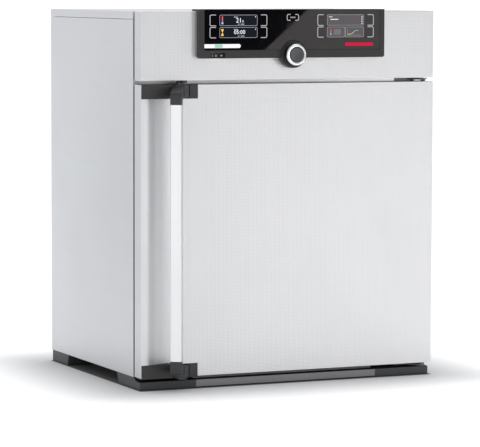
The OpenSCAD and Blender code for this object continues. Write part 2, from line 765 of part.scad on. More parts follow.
// The knob: a hollow skirt, a bright ring and a recessed cap
knob_y = -boss_front - knob_gap - knob_t;
cap_r = knob_r * 0.72;
module knob_body() {
    color([0.06, 0.06, 0.065]) translate([0, knob_y, knob_z]) rotate([-90, 0, 0]) difference() {
        union() {
            translate([0, 0, 3]) cylinder(r = knob_r - 0.8, h = knob_t - 3);
            cylinder(r = cap_r - fit_gap, h = 3 + eps);
        }
        translate([0, 0, 7]) difference() {
            cylinder(r = knob_r - 3.5, h = knob_t);
            cylinder(r = stem_r + 4, h = knob_t - 7);
        }
        translate([0, 0, 3.9]) cylinder(r = stem_r + run_gap, h = knob_t);
        translate([0, 0, -1]) cylinder(r = cap_r - 1, h = 2);
    }
}

module knob_ring() {
    // a rounded bright ring: a trapezium with a round brow, turned about the knob's axis
    color([0.9, 0.9, 0.92]) translate([0, knob_y, knob_z]) rotate([-90, 0, 0]) rotate_extrude()
        polygon([[cap_r, 2.9], [cap_r, 0.6], [cap_r + 0.8, -0.1], [(cap_r + knob_r) / 2, -0.5],
            [knob_r - 1.6, 0.2], [knob_r - 0.3, 1.5], [knob_r, 2.9], [knob_r - 0.3, 5], [knob_r - 0.78, 5],
            [knob_r - 0.78, 2.9]]);
}

module knob_cap() {
    color([0.24, 0.24, 0.25]) rod_y(0, knob_y + 0.3, knob_z, cap_r - 1 - fit_gap, 0.7);
}

// ---------------------------------------------------------------- electronics and rear connections

module electronics_tray() {
    color(steel_zinc) union() {
        slab(-half_w + casing_t + fit_gap, half_w - casing_t - fit_gap, y_frame_back + fit_gap,
            y_rear_in - casing_t - 2 * fit_gap, z_tray, z_tray + tray_t);
        for (s = [-1, 1]) slab(s * 60 - 3, s * 60 + 3, y_frame_back + fit_gap + 60, y_frame_back + 300,
            z_tray, z_tray + 12);
    }
}

module power_supply() {
    z = z_tray + tray_t;
    color([0.2, 0.3, 0.25]) {
        union() {
            slab(100, 260, y_frame_back + 120, y_frame_back + 330, z + 6, z + 7.6);
            for (x = [108, 252], y = [128, 322]) rod_z(x, y_frame_back + y, z, 3, 6 + eps);
            slab(120, 165, y_frame_back + 140, y_frame_back + 200, z + 7, z + 45);
            for (i = [0:3]) slab(180 + i * 18, 194 + i * 18, y_frame_back + 150, y_frame_back + 178, z + 7, z + 24);
            rod_z(140, y_frame_back + 260, z + 7, 12, 36);
            rod_z(180, y_frame_back + 260, z + 7, 12, 36);
        }
        slab(-230, -150, y_frame_back + 180, y_frame_back + 250, z, z + 64);
    }
}

// The mains inlet is one piece with a plastic carrier plate behind the panel's window
module mains_inlet() {
    color([0.05, 0.05, 0.05]) difference() {
        union() {
            slab(inlet_at[0] - 48, port_at[0] + 28, y_rear_in - 3, y_rear_in - fit_gap / 2,
                inlet_at[1] - 30, inlet_at[1] + 30);
            slab(inlet_at[0] - 23.8, inlet_at[0] + 23.8, y_rear_in - 24, body_d, inlet_at[1] - 13.8, inlet_at[1] + 13.8);
            slab(inlet_at[0] - 30, inlet_at[0] + 30, y_rear_in - 1, body_d + 1, inlet_at[1] - 18, inlet_at[1] + 18);
        }
        difference() {
            slab(inlet_at[0] - 13.5, inlet_at[0] + 13.5, body_d - 16, body_d + 3, inlet_at[1] - 9, inlet_at[1] + 9);
            for (p = [[-7, -2], [0, 3], [7, -2]])
                slab(inlet_at[0] + p[0] - 1, inlet_at[0] + p[0] + 1, body_d - 17, body_d - 1,
                    inlet_at[1] + p[1] - 2, inlet_at[1] + p[1] + 2);
        }
        slab(port_at[0] - 8.5, port_at[0] + 8.5, y_rear_in - 4, body_d, port_at[1] - 7.5, port_at[1] + 7.5);
    }
}

module network_port() {
    color([0.7, 0.7, 0.7]) difference() {
        slab(port_at[0] - 8.2, port_at[0] + 8.2, y_rear_in - 14, body_d, port_at[1] - 7.2, port_at[1] + 7.2);
        slab(port_at[0] - 6, port_at[0] + 6, body_d - 11, body_d + 2, port_at[1] - 5, port_at[1] + 3);
    }
}

module rating_plate() {
    color([0.85, 0.85, 0.85]) slab(port_at[0] + 32, port_at[0] + 112, body_d, body_d + 0.6,
        port_at[1] - 20, port_at[1] + 20);
}

// ---------------------------------------------------------------- feet

foot_x = half_w - foot_inset;
foot_top = foot_h - fit_gap;
front_foot_back = 141;
rear_foot_front = body_d - 105.5;

module front_foot(x0, x1, leg_x0, leg_x1) {
    color(plastic_dark) union() {
        profile_x(x0, x1 - x0) polygon([[plinth_y, pad_t], [60, pad_t], [60, foot_top],
            [y_casing + 1.3, foot_top], [y_casing - 10, plinth_h + 1.6], [plinth_y, plinth_h]]);
        profile_x(leg_x0, leg_x1 - leg_x0) polygon([[59, pad_t], [front_foot_back, pad_t],
            [front_foot_back + foot_slant, foot_top], [59, foot_top]]);
    }
}

// The right one has a pocket for the lower hinge arm
module front_feet() {
    front_foot(-foot_x, -foot_x + left_block_w, -foot_x, -foot_x + 70);
    difference() {
        front_foot(foot_x - right_block_w, foot_x, foot_x - 70, foot_x);
        slab(hinge_at[0] - 62, hinge_at[0] + 12, 0, y_casing + 0.4, lower_arm_z - 0.3, foot_h + 1);
    }
}

module rear_feet() {
    color(plastic_dark) for (s = [-1, 1]) profile_x(s > 0 ? foot_x - 70 : -foot_x, 70)
        polygon([[rear_foot_front, pad_t], [body_d - foot_inset, pad_t],
            [body_d - foot_inset, foot_top], [rear_foot_front - 7, foot_top]]);
}

module foot_pads() {
    color(rubber_dark) for (s = [-1, 1]) {
        x0 = s > 0 ? foot_x - 64 : -foot_x + 6;
        slab(x0, x0 + 58, plinth_y + 8, front_foot_back - 8, 0, pad_t);
        slab(x0, x0 + 58, rear_foot_front + 8, body_d - foot_inset - 8, 0, pad_t);
    }
}

module plinth_strip() {
    x0 = -foot_x + left_block_w + fit_gap;
    x1 = foot_x - right_block_w - fit_gap;
    color([0.45, 0.45, 0.46]) union() {
        slab(x0, x1, plinth_y, plinth_y + 1.5, pad_t + 1, plinth_h);
        slab(x0, x1, plinth_y, plinth_y + 26, plinth_h - 1.5, plinth_h);
        slab(x0, x1, plinth_y + 24.5, plinth_y + 26, plinth_h - 1.5, foot_top);
        slab(x0, x1, plinth_y + 24.5, y_casing + 12, foot_top - 1.5, foot_top);
    }
}

// ---------------------------------------------------------------- hinges and lock

bracket_t = 3;
upper_arm_z = z_door_top + 4;
lower_arm_z = plinth_h + 1.7;
bush_l = 12;
bush_wall = 3;

// A hinge arm: a flat arm from the casing to the pivot, a foot on the frame and a pin
module hinge_arm(z, pin_z0, pin_z1, tab_z0, tab_z1) {
    union() {
        translate([0, 0, z]) linear_extrude(bracket_t)
            polygon([[hinge_at[0] - 34, y_casing - fit_gap], [hinge_at[0] - 9, hinge_at[1] - 6],
                [hinge_at[0] + 4, hinge_at[1] - 8.5], [hinge_at[0] + 9, hinge_at[1]],
                [hinge_at[0] + 2, y_casing - fit_gap]]);
        rod_z(hinge_at[0], hinge_at[1], z, 9, bracket_t);
        slab(hinge_at[0] - 60, hinge_at[0] - 11, y_casing - 3, y_casing, tab_z0, tab_z1);
        rod_z(hinge_at[0], hinge_at[1], pin_z0, hinge_pin_r, pin_z1 - pin_z0);
    }
}

module hinge_brackets() {
    color([0.8, 0.81, 0.82]) {
        hinge_arm(upper_arm_z, z_door_top - bush_l + 1, upper_arm_z + eps,
            upper_arm_z - 22, upper_arm_z + bracket_t);
        union() {
            hinge_arm(lower_arm_z, lower_arm_z + bracket_t - eps, z_door + bush_l - 1,
                lower_arm_z, lower_arm_z + 26);
            rod_z(hinge_at[0], hinge_at[1], lower_arm_z + bracket_t - eps, hinge_pin_r + 3,
                z_door - lower_arm_z - bracket_t - 0.1);
        }
    }
}

// The bushes sit in the door's end plates
module hinge_bushes() {
    color([0.75, 0.6, 0.35]) for (z = [z_door, z_door_top - bush_l]) difference() {
        rod_z(hinge_at[0], hinge_at[1], z, hinge_pin_r + bush_wall, bush_l);
        rod_z(hinge_at[0], hinge_at[1], z - 1, hinge_pin_r + run_gap, bush_l + 2);
    }
}

keeper_r = 4;
upper_tongue_z = upper_lock_z + lock_h + move_gap;
lower_tongue_z = lower_lock_z - move_gap - tongue_t;
keeper_x = lever_at[0] + tongue_w / 2 + 1 + keeper_r;
keeper_y = lever_at[1] + tongue_l - 6;

module latch_keepers() {
    x0 = keeper_x - keeper_r;
    color([0.6, 0.6, 0.62]) {
        union() {
            slab(x0, keeper_x + 10, keeper_y - keeper_r, y_casing, z_header - 1.8, z_header - 0.2);
            rod_z(keeper_x, keeper_y, upper_tongue_z, keeper_r, z_header - 1 - upper_tongue_z);
            slab(x0, keeper_x + 22, y_casing - 1.6, y_casing, z_header - 7, z_header - 0.2);
        }
        union() {
            slab(x0, keeper_x + 10, plinth_y + 5, keeper_y + keeper_r, plinth_h + 1.2, plinth_h + 2.8);
            rod_z(keeper_x, keeper_y, plinth_h + 2, keeper_r, lower_lock_z - 0.8 - plinth_h - 2);
        }
    }
}

// ---------------------------------------------------------------- door

// Depth of the finger channel at x: a soft slope in from the free edge and a steeper way out
function channel_y(x) = x < channel_low
    ? channel_depth * (1 - cos(180 * (x - channel_x0) / (channel_low - channel_x0))) / 2
    : channel_depth * (1 + cos(180 * (x - channel_low) / (channel_x1 - channel_low))) / 2;
channel_xs = [for (i = [0:channel_steps]) channel_x0 + i * (channel_low - channel_x0) / channel_steps,
    for (i = [1:channel_steps]) channel_low + i * (channel_x1 - channel_low) / channel_steps];

// The door skin's section, from the left return over the channel to the right return
module skin_section(t) {
    polygon(concat([[-half_w, front_t - fit_gap - skin_t], [-half_w, 0]],
        [for (x = channel_xs) [x, channel_y(x)]],
        [[half_w, 0], [half_w, front_t - fit_gap - skin_t],
            [half_w - t, front_t - fit_gap - skin_t], [half_w - t, t]],
        [for (i = [len(channel_xs) - 1:-1:0]) [channel_xs[i], channel_y(channel_xs[i]) + t]],
        [[-half_w + t, t], [-half_w + t, front_t - fit_gap - skin_t]]));
}

module door_skin() {
    inner_y = front_t - fit_gap - skin_t;
    color(steel_white) difference() {
        union() {
            translate([0, 0, z_door]) linear_extrude(z_door_top - z_door) skin_section(skin_t);
            for (z = [z_door, z_door_top - end_plate_t])
                slab(-half_w + lock_w + fit_gap, half_w - eps, eps, inner_y, z, z + end_plate_t);
        }
        slab(-half_w + skin_t, -half_w + lock_w + fit_gap, -1, front_t, z_door - 1, lower_lock_z + lock_h + fit_gap);
        slab(-half_w + skin_t, -half_w + lock_w + fit_gap, -1, front_t, upper_lock_z - fit_gap, z_door_top + 1);
        for (z = [z_door, z_door_top])
            rod_z(hinge_at[0], hinge_at[1], z - 3, hinge_pin_r + bush_wall, 6);
    }
}

module door_inner_panel() {
    plug_x = half_cw + plug_inset;
    color(steel_bare) difference() {
        union() {
            slab(-half_w, half_w, front_t - skin_t, front_t, z_door, z_door_top);
            slab(-plug_x, plug_x, front_t - eps, front_t + plug_t, z_ch - plug_inset, z_ch_top + plug_inset);
        }
        slab(-plug_x + skin_t, plug_x - skin_t, front_t - skin_t - 1, front_t + plug_t - skin_t,
            z_ch - plug_inset + skin_t, z_ch_top + plug_inset - skin_t);
    }
}

module door_insulation() {
    x0 = channel_x1 + 4;
    y0 = skin_t + fit_gap;
    y1 = front_t - skin_t - fit_gap;
    lock_x = -half_w + lock_w + 2 * fit_gap;
    color([0.9, 0.88, 0.75]) difference() {
        slab(x0, half_w - skin_t - fit_gap, y0, y1, z_door + end_plate_t + fit_gap,
            z_door_top - end_plate_t - fit_gap);
        slab(x0 - 1, lock_x, y0 - 1, y1 + 1, z_door, lower_lock_z + lock_h + 2 * fit_gap);
        slab(x0 - 1, lock_x, y0 - 1, y1 + 1, upper_lock_z - 2 * fit_gap, z_door_top);
        for (z = [z_door, z_door_top - bush_l])
            rod_z(hinge_at[0], hinge_at[1], z - 1, hinge_pin_r + bush_wall + fit_gap, bush_l + 2);
    }
}

// A lock housing: a flush plastic block with a round seat that is open to the front for the
// lever. A thin floor closes the seat on the side of the finger channel and holds the axle.
module lock_housing(z0, floor_z) {
    back = front_t - skin_t - 2 * fit_gap;
    seat_r = drum_r + drum_gap;
    left = -half_w + skin_t + fit_gap;      // the door skin's return covers this end
    block_w = lock_w - skin_t - fit_gap;
    color(plastic_dark) union() {
        difference() {
            translate([0, 0, z0]) linear_extrude(lock_h) difference() {
                translate([left + block_w / 2, back / 2]) round_rect(block_w, back, 1.5);
                translate(lever_at) circle(r = seat_r);
                translate([lever_at[0] - seat_r, -1]) square([2 * seat_r + 0.5, lever_at[1] + 1]);
            }
            // relief behind the flush face
            slab(-half_w + 8, lever_at[0] - seat_r - 5, 6, back - 4, floor_z, floor_z + lock_h - 3);
        }
        translate([0, 0, floor_z < z0 ? z0 : z0 + lock_h - web_t]) linear_extrude(web_t)
            intersection() {
                translate([lever_at[0] - seat_r - 1, 0]) square([2 * seat_r + 5, lever_at[1] + seat_r + 1]);
                difference() {
                    translate([left + block_w / 2, back / 2]) round_rect(block_w, back, 1.5);
                    translate(lever_at) circle(r = axle_r);
                }
            }
    }
}

module upper_lock_housing() { lock_housing(upper_lock_z, upper_lock_z - 1); }

module lower_lock_housing() { lock_housing(lower_lock_z, lower_lock_z + 4); }

// The axles of the two levers, each pressed into the floor of its housing
module lock_axles() {
    color(steel_bare) {
        rod_z(lever_at[0], lever_at[1], upper_lock_z, axle_r, lock_h - 6);
        rod_z(lever_at[0], lever_at[1], lower_lock_z + 6, axle_r, lock_h - 6);
    }
}

// ---------------------------------------------------------------- handle

module bar_section(w, t, r) {
    translate([handle_l - bar_t / 2, 0]) round_rect(t, w, r);
}

module handle_bar() {
    color([0.88, 0.89, 0.9]) on_lever(bar_z0) difference() {
        linear_extrude(bar_z1 - bar_z0) bar_section(bar_w, bar_t, bar_round);
        translate([0, 0, -1]) linear_extrude(bar_z1 - bar_z0 + 2)
            bar_section(bar_w - 2 * bar_wall, bar_t - 2 * bar_wall, 1);
    }
}

// A lever: the drum on its axle, and an arm that bends into the end of the bar. Its side view
// is drawn in the lever's own plane. Heights run away from the channel side of the drum.
module lever(z_in, rise, tip, shoulder) {
    inner = handle_l - bar_t;
    drum_h = lock_h - web_t - 0.4;
    drum_in = z_in + rise * (web_t + 0.4);
    bar_end = -12;
    color(plastic_dark) difference() {
        union() {
            on_lever(rise > 0 ? drum_in : drum_in - drum_h) cylinder(r = drum_r, h = drum_h);
            on_lever(z_in) rotate([90, 0, 0]) translate([0, 0, -bar_w / 2]) linear_extrude(bar_w)
                polygon([[0, rise * 4], [drum_r + 3, rise * 4], [inner - 9, rise * 1.5],
                    [inner - 2, rise * -3], [inner, rise * bar_end], [handle_l, rise * bar_end],
                    [handle_l, rise * (tip - 4)], [handle_l - 1.5, rise * (tip - 1)], [handle_l - 5, rise * tip],
                    [drum_r + 5, rise * shoulder], [0, rise * shoulder]]);
            on_lever(rise > 0 ? bar_z1 - tenon_l : bar_z0 - eps) linear_extrude(tenon_l + eps)
                bar_section(bar_w - 2 * bar_wall - 2 * fit_gap, bar_t - 2 * bar_wall - 2 * fit_gap, 0.8);
        }
        // blind bore for the axle
        on_lever(rise > 0 ? z_in - 1 : z_in - lock_h + 5.5) cylinder(r = axle_r + run_gap, h = lock_h - 4.5);
    }
}

module upper_lever() { lever(upper_lock_z, 1, 16, 28); }

module lower_lever() { lever(lower_lock_z + lock_h, -1, 18.7, 19.5); }

// The tongues turn with the levers and lie beside the keepers when the handle is closed
module latch_tongues() {
    color([0.6, 0.6, 0.62]) for (up = [0, 1])
        translate([lever_at[0], lever_at[1], up ? upper_tongue_z : lower_tongue_z]) union() {
            translate([0, 0, up ? -move_gap : 0]) cylinder(r = 9, h = tongue_t + move_gap);
            translate([-tongue_w / 2, 0, 0]) cube([tongue_w, tongue_l - tongue_w / 2, tongue_t]);
            translate([0, tongue_l - tongue_w / 2, 0]) cylinder(r = tongue_w / 2, h = tongue_t);
        }
}

// ---------------------------------------------------------------- assembly

module placed() { translate([0, origin_y, 0]) children(); }

placed() {
    left_side_panel();
    right_side_panel();
    top_cover();
    rear_panel();
    service_panel();
    base_pan();
    front_frame();
    chamber_liner();
    heating_elements();
    insulation_mats();
    fan_baffle();
    fan_motor();
    exhaust_duct();
    exhaust_spigot();
    flap_motor();
    temperature_sensors();
    door_gasket();
    glass_door_brackets();
    header_panel();
    header_rail();
    cockpit_bezel();
    cockpit_glass();
    display_modules();
    control_board();
    energy_bar();
    switch_module();
    electronics_tray();
    power_supply();
    mains_inlet();
    network_port();
    rating_plate();
    rear_panel_screws();
    front_feet();
    rear_feet();
    foot_pads();
    plinth_strip();
    hinge_brackets();
    latch_keepers();
    door_skin();
    door_inner_panel();
    door_insulation();
    upper_lock_housing();
    lower_lock_housing();
    hinge_bushes();
    lock_axles();
    handle_bar();
    upper_lever();
    lower_lever();
    latch_tongues();
    glass_pane();
    glass_door_fittings();
    upper_shelf();
    lower_shelf();
    encoder_stem();
    knob_body();
    knob_ring();
    knob_cap();
    power_rocker();
    fan_wheel();
    air_flap();
}
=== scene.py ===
"""Looks of the laboratory incubator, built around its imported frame."""

import json
import math

import bmesh
import bpy
from bpy.props import FloatProperty, FloatVectorProperty, IntProperty, PointerProperty
from mathutils import Matrix, Vector

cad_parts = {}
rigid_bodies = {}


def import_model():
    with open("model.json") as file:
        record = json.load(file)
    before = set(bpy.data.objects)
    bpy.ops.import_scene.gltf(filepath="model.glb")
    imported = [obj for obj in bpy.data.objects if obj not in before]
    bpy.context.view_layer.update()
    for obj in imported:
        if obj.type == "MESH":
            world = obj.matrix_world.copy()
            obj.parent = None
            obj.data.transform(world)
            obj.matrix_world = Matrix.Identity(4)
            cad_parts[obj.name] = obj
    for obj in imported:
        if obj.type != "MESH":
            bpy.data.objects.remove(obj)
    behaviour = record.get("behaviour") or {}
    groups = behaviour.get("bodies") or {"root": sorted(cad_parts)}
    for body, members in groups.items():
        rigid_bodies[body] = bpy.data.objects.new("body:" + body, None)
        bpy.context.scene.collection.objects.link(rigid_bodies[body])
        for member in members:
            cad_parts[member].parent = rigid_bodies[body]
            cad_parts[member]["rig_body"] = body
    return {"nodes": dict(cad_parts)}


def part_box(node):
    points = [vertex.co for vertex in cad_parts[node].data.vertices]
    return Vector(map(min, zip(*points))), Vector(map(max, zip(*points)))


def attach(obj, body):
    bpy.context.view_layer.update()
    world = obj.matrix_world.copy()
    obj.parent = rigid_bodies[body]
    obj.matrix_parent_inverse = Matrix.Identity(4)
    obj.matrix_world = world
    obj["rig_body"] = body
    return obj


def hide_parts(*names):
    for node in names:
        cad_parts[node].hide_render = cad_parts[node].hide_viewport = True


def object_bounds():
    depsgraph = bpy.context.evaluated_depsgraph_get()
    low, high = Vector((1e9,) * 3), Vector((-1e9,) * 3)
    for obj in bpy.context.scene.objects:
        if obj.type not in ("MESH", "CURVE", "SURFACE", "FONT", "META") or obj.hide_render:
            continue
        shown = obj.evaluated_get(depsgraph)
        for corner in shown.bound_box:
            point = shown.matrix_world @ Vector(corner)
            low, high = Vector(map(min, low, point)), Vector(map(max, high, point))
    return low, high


bl_info = {
    "name": "Laboratory Incubator",
    "version": (1, 0, 0),
    "blender": (4, 5, 0),
    "location": "3D View > Sidebar > Incubator",
    "description": "Surfaces, cockpit graphics and small parts of a laboratory incubator",
    "category": "Object",
}

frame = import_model()
CAD_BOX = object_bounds()
MM = 0.001
FLAT_AREA = 0.0003   # a face larger than this, in square metres, and
FLAT_SHARE = 25      # this many times its neighbour, keeps its own flat shading
SHARP = 25.0         # edges sharper than this, in degrees, stay sharp
WELD = 0.001 * MM    # corners closer than this are one

# Lowest and highest corners of the nodes that the other pieces are placed by
GLASS_LO, GLASS_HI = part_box("cockpit_glass")
BEZEL_LO, BEZEL_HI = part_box("cockpit_bezel")
BAR_LO, BAR_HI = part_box("energy_bar")
RING_LO, RING_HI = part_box("knob_ring")
CAP_LO, CAP_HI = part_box("knob_cap")
SWITCH_LO, SWITCH_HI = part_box("switch_module")
PANEL_LO, PANEL_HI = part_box("service_panel")
REAR_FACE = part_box("rear_panel")[1].y
PORT_LO, PORT_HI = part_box("network_port")
DRUM_LO, DRUM_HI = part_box("lock_axles")
GASKET_LO, GASKET_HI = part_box("door_gasket")
HOUSING_LO, HOUSING_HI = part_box("lower_lock_housing")
KNOB_X = (RING_LO.x + RING_HI.x) / 2
KNOB_Z = (RING_LO.z + RING_HI.z) / 2


# ---------------------------------------------------------------- settings


def colour(name, note, value):
    """A colour setting, in linear light."""
    return FloatVectorProperty(
        name=name, description=note, subtype="COLOR", size=3, min=0, max=1, default=value
    )


def length(name, note, value):
    """A length setting, in metres."""
    return FloatProperty(name=name, description=note, unit="LENGTH", default=value, precision=4)


def power(name, note, value):
    """A light's power or strength."""
    return FloatProperty(name=name, description=note, default=value, min=0)


class IncubatorFinish(bpy.types.PropertyGroup):
    """Colours and grains of the object's surfaces."""

    door_steel: colour("Door steel", "Textured steel of the door and header", (0.80, 0.80, 0.81))
    casing_steel: colour("Casing steel", "Plain steel of the side panels and the top", (0.655, 0.665, 0.685))
    chamber_steel: colour("Chamber steel", "Steel of the chamber and the front frame", (0.70, 0.70, 0.70))
    zinc: colour("Zinc sheet", "Galvanised sheet of the rear and the trays", (0.60, 0.61, 0.63))
    handle: colour("Handle bar", "Satin bar between the levers", (0.86, 0.86, 0.88))
    dark_plastic: colour("Dark plastic", "Bezel, levers and lock housings", (0.034, 0.034, 0.035))
    bezel: colour("Bezel plastic", "The frame round the cockpit glass", (0.026, 0.0255, 0.0255))
    drum: colour("Drum plastic", "The grooved drums of the levers", (0.075, 0.078, 0.082))
    foot_plastic: colour("Foot plastic", "The feet below the cabinet", (0.058, 0.060, 0.066))
    plinth: colour("Plinth strip", "The strip between the front feet", (0.30, 0.29, 0.30))
    glass: colour("Cockpit glass", "Black glass of the cockpit", (0.004, 0.004, 0.005))
    emboss_pitch: length("Diamond pitch", "Distance between the diamonds of the textured steel", 0.0033)
    emboss_depth: length("Diamond depth", "Height of the diamonds", 0.00018)
    grain_size: length("Plastic grain", "Size of the grain of moulded plastic", 0.0007)
    edge_break: length("Edge radius", "Radius of the folded sheet edges", 0.0012)
    plastic_break: length("Plastic edge radius", "Radius of the moulded edges", 0.0009)


class IncubatorCockpit(bpy.types.PropertyGroup):
    """Sizes of the print and the displays on the cockpit glass."""

    line: length("Line width", "Width of the printed brackets", 0.0018)
    row_height: length("Row height", "Height of a display row", 0.0258)
    row_gap: length("Row gap", "Gap between the two display rows", 0.0024)
    rows_above: length("Rows above the glass edge", "Height of the lower row above the glass edge", 0.0278)
    screen_width: length("Screen width", "Width of a display area", 0.0955)
    screen_x: length("Screen place", "Distance of a display's centre from the middle", 0.1358)
    # The print's colour also feeds its glow, which is painted light.
    print_grey: colour("Print", "Colour of the printed brackets", (0.62, 0.62, 0.64))
    left_screen: colour("Left screen", "Fill of the left display", (0.004, 0.0055, 0.011))
    # The right display's grey fill is partly its own glow and partly a painted reflection of the studio in the
    # glass.
    right_screen: colour("Right screen", "Fill of the right display", (0.10, 0.092, 0.098))


class IncubatorStage(bpy.types.PropertyGroup):
    """Camera and light."""

    azimuth: FloatProperty(name="Azimuth", description="Angle of the camera to the left of the front",
                           subtype="ANGLE", default=math.radians(-24.09))
    elevation: FloatProperty(name="Elevation", description="Angle of the camera above the level",
                             subtype="ANGLE", default=math.radians(4.88))
    roll: FloatProperty(name="Roll", description="Roll of the camera", subtype="ANGLE",
                        default=math.radians(0.14))
    lens: FloatProperty(name="Lens", description="Focal length on a sensor 36 mm wide", unit="CAMERA",
                        default=212.29)
    world: power("Ambient light", "Strength of the even light", 0.58)
    key: power("Right light", "Power of the softbox at the right", 8.0)
    top: power("Top light", "Power of the softbox above", 14.0)
    side: power("Side card", "Strength of the pale card mirrored in the left side", 1.0)
    left: power("Left light", "Power of the softbox at the left front", 6.6)
    warm: power("Warm card", "Strength of the warm card in the cockpit glass", 1.05)
    floor_glow: power("Floor glow", "Own light of the pale floor", 0.35)
    whiter: power("Floor lift", "How much more of it the camera sees", 0.45)
    curve_steps: IntProperty(name="Backdrop steps", description="Steps of the backdrop's curve",
                             default=24, min=4)


def finishes():
    """The colours and grains that are set now."""
    return bpy.context.scene.incubator_finish


# ---------------------------------------------------------------- node helpers


class Graph:
    """Adds nodes to one tree and links them."""

    def __init__(self, tree):
        self.tree = tree
        self.column = 0

    def add(self, kind, **settings):
        node = self.tree.nodes.new(kind)
        node.location = (180 * (self.column % 12), -260 * (self.column // 12))
        self.column += 1
        for name, value in settings.items():
            setattr(node, name, value)
        return node

    def feed(self, socket, value):
        """Links a socket, or sets a plain value on it."""
        if isinstance(value, bpy.types.NodeSocket):
            self.tree.links.new(value, socket)
        else:
            socket.default_value = value

    def math(self, operation, *values):
        node = self.add("ShaderNodeMath", operation=operation)
        for socket, value in zip(node.inputs, values):
            self.feed(socket, value)
        return node.outputs[0]

    def spread(self, value, low, high, to_low, to_high):
        """Maps a range to another one, clamped."""
        node = self.add("ShaderNodeMapRange")
        for index, item in enumerate((value, low, high, to_low, to_high)):
            self.feed(node.inputs[index], item)
        return node.outputs[0]

    def noise(self, vector, scale, detail=3.0, roughness=0.5):
        node = self.add("ShaderNodeTexNoise")
        self.feed(node.inputs["Vector"], vector)
        self.feed(node.inputs["Scale"], scale)
        node.inputs["Detail"].default_value = detail
        node.inputs["Roughness"].default_value = roughness
        return node.outputs[0]

    def stretched(self, vector, scale):
        node = self.add("ShaderNodeMapping")
        self.feed(node.inputs["Vector"], vector)
        node.inputs["Scale"].default_value = scale
        return node.outputs[0]

    def mixed(self, factor, first, second):
        """A colour between two colours."""
        node = self.add("ShaderNodeMix", data_type="RGBA")
        self.feed(node.inputs[0], factor)
        for socket, value in zip((node.inputs[6], node.inputs[7]), (first, second)):
            self.feed(socket, value if isinstance(value, bpy.types.NodeSocket) else (*value[:3], 1.0))
        return node.outputs[2]


def effect(name, measure, outputs, build):
    """A shader node group, built once, which reads coordinates and one measure.
    build(graph, in_sockets) returns the values that it puts out."""
    tree = bpy.data.node_groups.get(name)
    if tree:
        return tree
    tree = bpy.data.node_groups.new(name, "ShaderNodeTree")
    tree.interface.new_socket("Vector", in_out="INPUT", socket_type="NodeSocketVector")
    size = tree.interface.new_socket(measure[0], in_out="INPUT", socket_type="NodeSocketFloat")
    size.default_value = measure[1]
    for label in outputs:
        tree.interface.new_socket(label, in_out="OUTPUT", socket_type="NodeSocketFloat")
    graph = Graph(tree)
    entry = graph.add("NodeGroupInput")
    results = build(graph, entry.outputs)
    leave = graph.add("NodeGroupOutput")
    for label, socket in results.items():
        graph.feed(leave.inputs[label], socket)
    return tree


def diamond_embossing():
    """Rows of small raised diamonds, as on textured sheet."""

    def build(g, inside):
        axes = g.add("ShaderNodeSeparateXYZ")
        g.feed(axes.inputs[0], inside["Vector"])
        turn = g.math("DIVIDE", math.pi, inside["Pitch"])
        across, down = (g.math("SINE", g.math("MULTIPLY", g.math(way, axes.outputs[0], axes.outputs[2]), turn))
                        for way in ("ADD", "SUBTRACT"))
        height = g.spread(g.math("MULTIPLY", across, down), -0.6, 0.6, 0.0, 1.0)
        return {"Height": height, "Mask": height}

    return effect("Diamond embossing", ("Pitch", 0.0033), ("Height", "Mask"), build)


def brushed_streaks():
    """Fine streaks along one axis, as rolling and brushing leave them."""

    def build(g, inside):
        fine = g.noise(inside["Vector"], inside["Fineness"], detail=4)
        broad = g.noise(inside["Vector"], g.math("MULTIPLY", inside["Fineness"], 0.15), detail=2)
        streak = g.math("ADD", g.math("MULTIPLY", fine, 0.65), g.math("MULTIPLY", broad, 0.35))
        return {"Height": fine, "Mask": g.spread(streak, 0.35, 0.65, 0.0, 1.0)}

    return effect("Brushed streaks", ("Fineness", 40.0), ("Height", "Mask"), build)


def moulded_grain():
    """The fine leathery grain of an eroded mould."""

    def build(g, inside):
        scale = g.math("DIVIDE", 1.0, inside["Grain"])
        cells = g.add("ShaderNodeTexVoronoi", feature="SMOOTH_F1")
        g.feed(cells.inputs["Vector"], inside["Vector"])
        g.feed(cells.inputs["Scale"], g.math("MULTIPLY", scale, 0.5))
        pits = g.noise(inside["Vector"], scale, detail=2)
        height = g.math("ADD", g.math("MULTIPLY", cells.outputs["Distance"], 0.6),
                        g.math("MULTIPLY", pits, 0.5))
        return {"Height": height, "Mask": g.spread(height, 0.3, 0.8, 0.0, 1.0)}

    return effect("Moulded grain", ("Grain", 0.0007), ("Height", "Mask"), build)


def handling_marks():
    """Soft cloudy marks that hands and cloths leave."""

    def build(g, inside):
        cloud = g.noise(inside["Vector"], inside["Scale"], detail=5, roughness=0.6)
        finer = g.math("MULTIPLY", inside["Scale"], 3.1)
        wipes = g.noise(g.stretched(inside["Vector"], (1.0, 1.0, 0.25)), finer)
        both = g.math("MULTIPLY", g.spread(cloud, 0.45, 0.75, 0.0, 1.0), g.spread(wipes, 0.3, 0.7, 0.3, 1.0))
        return {"Mask": both}

    return effect("Handling marks", ("Scale", 5.0), ("Mask",), build)


def start_material(name):
    """A material with a Principled shader, and its graph, shader and object coordinates."""
    material = bpy.data.materials.new(name)
    material.use_nodes = True
    graph = Graph(material.node_tree)
    shader = material.node_tree.nodes["Principled BSDF"]
    place = graph.add("ShaderNodeTexCoord").outputs["Object"]
    return material, graph, shader, place


def grouped(graph, tree, **values):
    """Places an effect in a material with its own values."""
    node = graph.add("ShaderNodeGroup")
    node.node_tree = tree
    for label, value in values.items():
        graph.feed(node.inputs[label], value)
    return node.outputs


def bumped(graph, shader, height, distance, strength=1.0, before=None):
    node = graph.add("ShaderNodeBump")
    node.inputs["Strength"].default_value = strength
    node.inputs["Distance"].default_value = distance
    graph.feed(node.inputs["Height"], height)
    if before is not None:
        graph.feed(node.inputs["Normal"], before)
    graph.feed(shader.inputs["Normal"], node.outputs[0])
    return node.outputs[0]


def toned(value, factor):
    return tuple(min(1.0, c * factor) for c in value[:3])


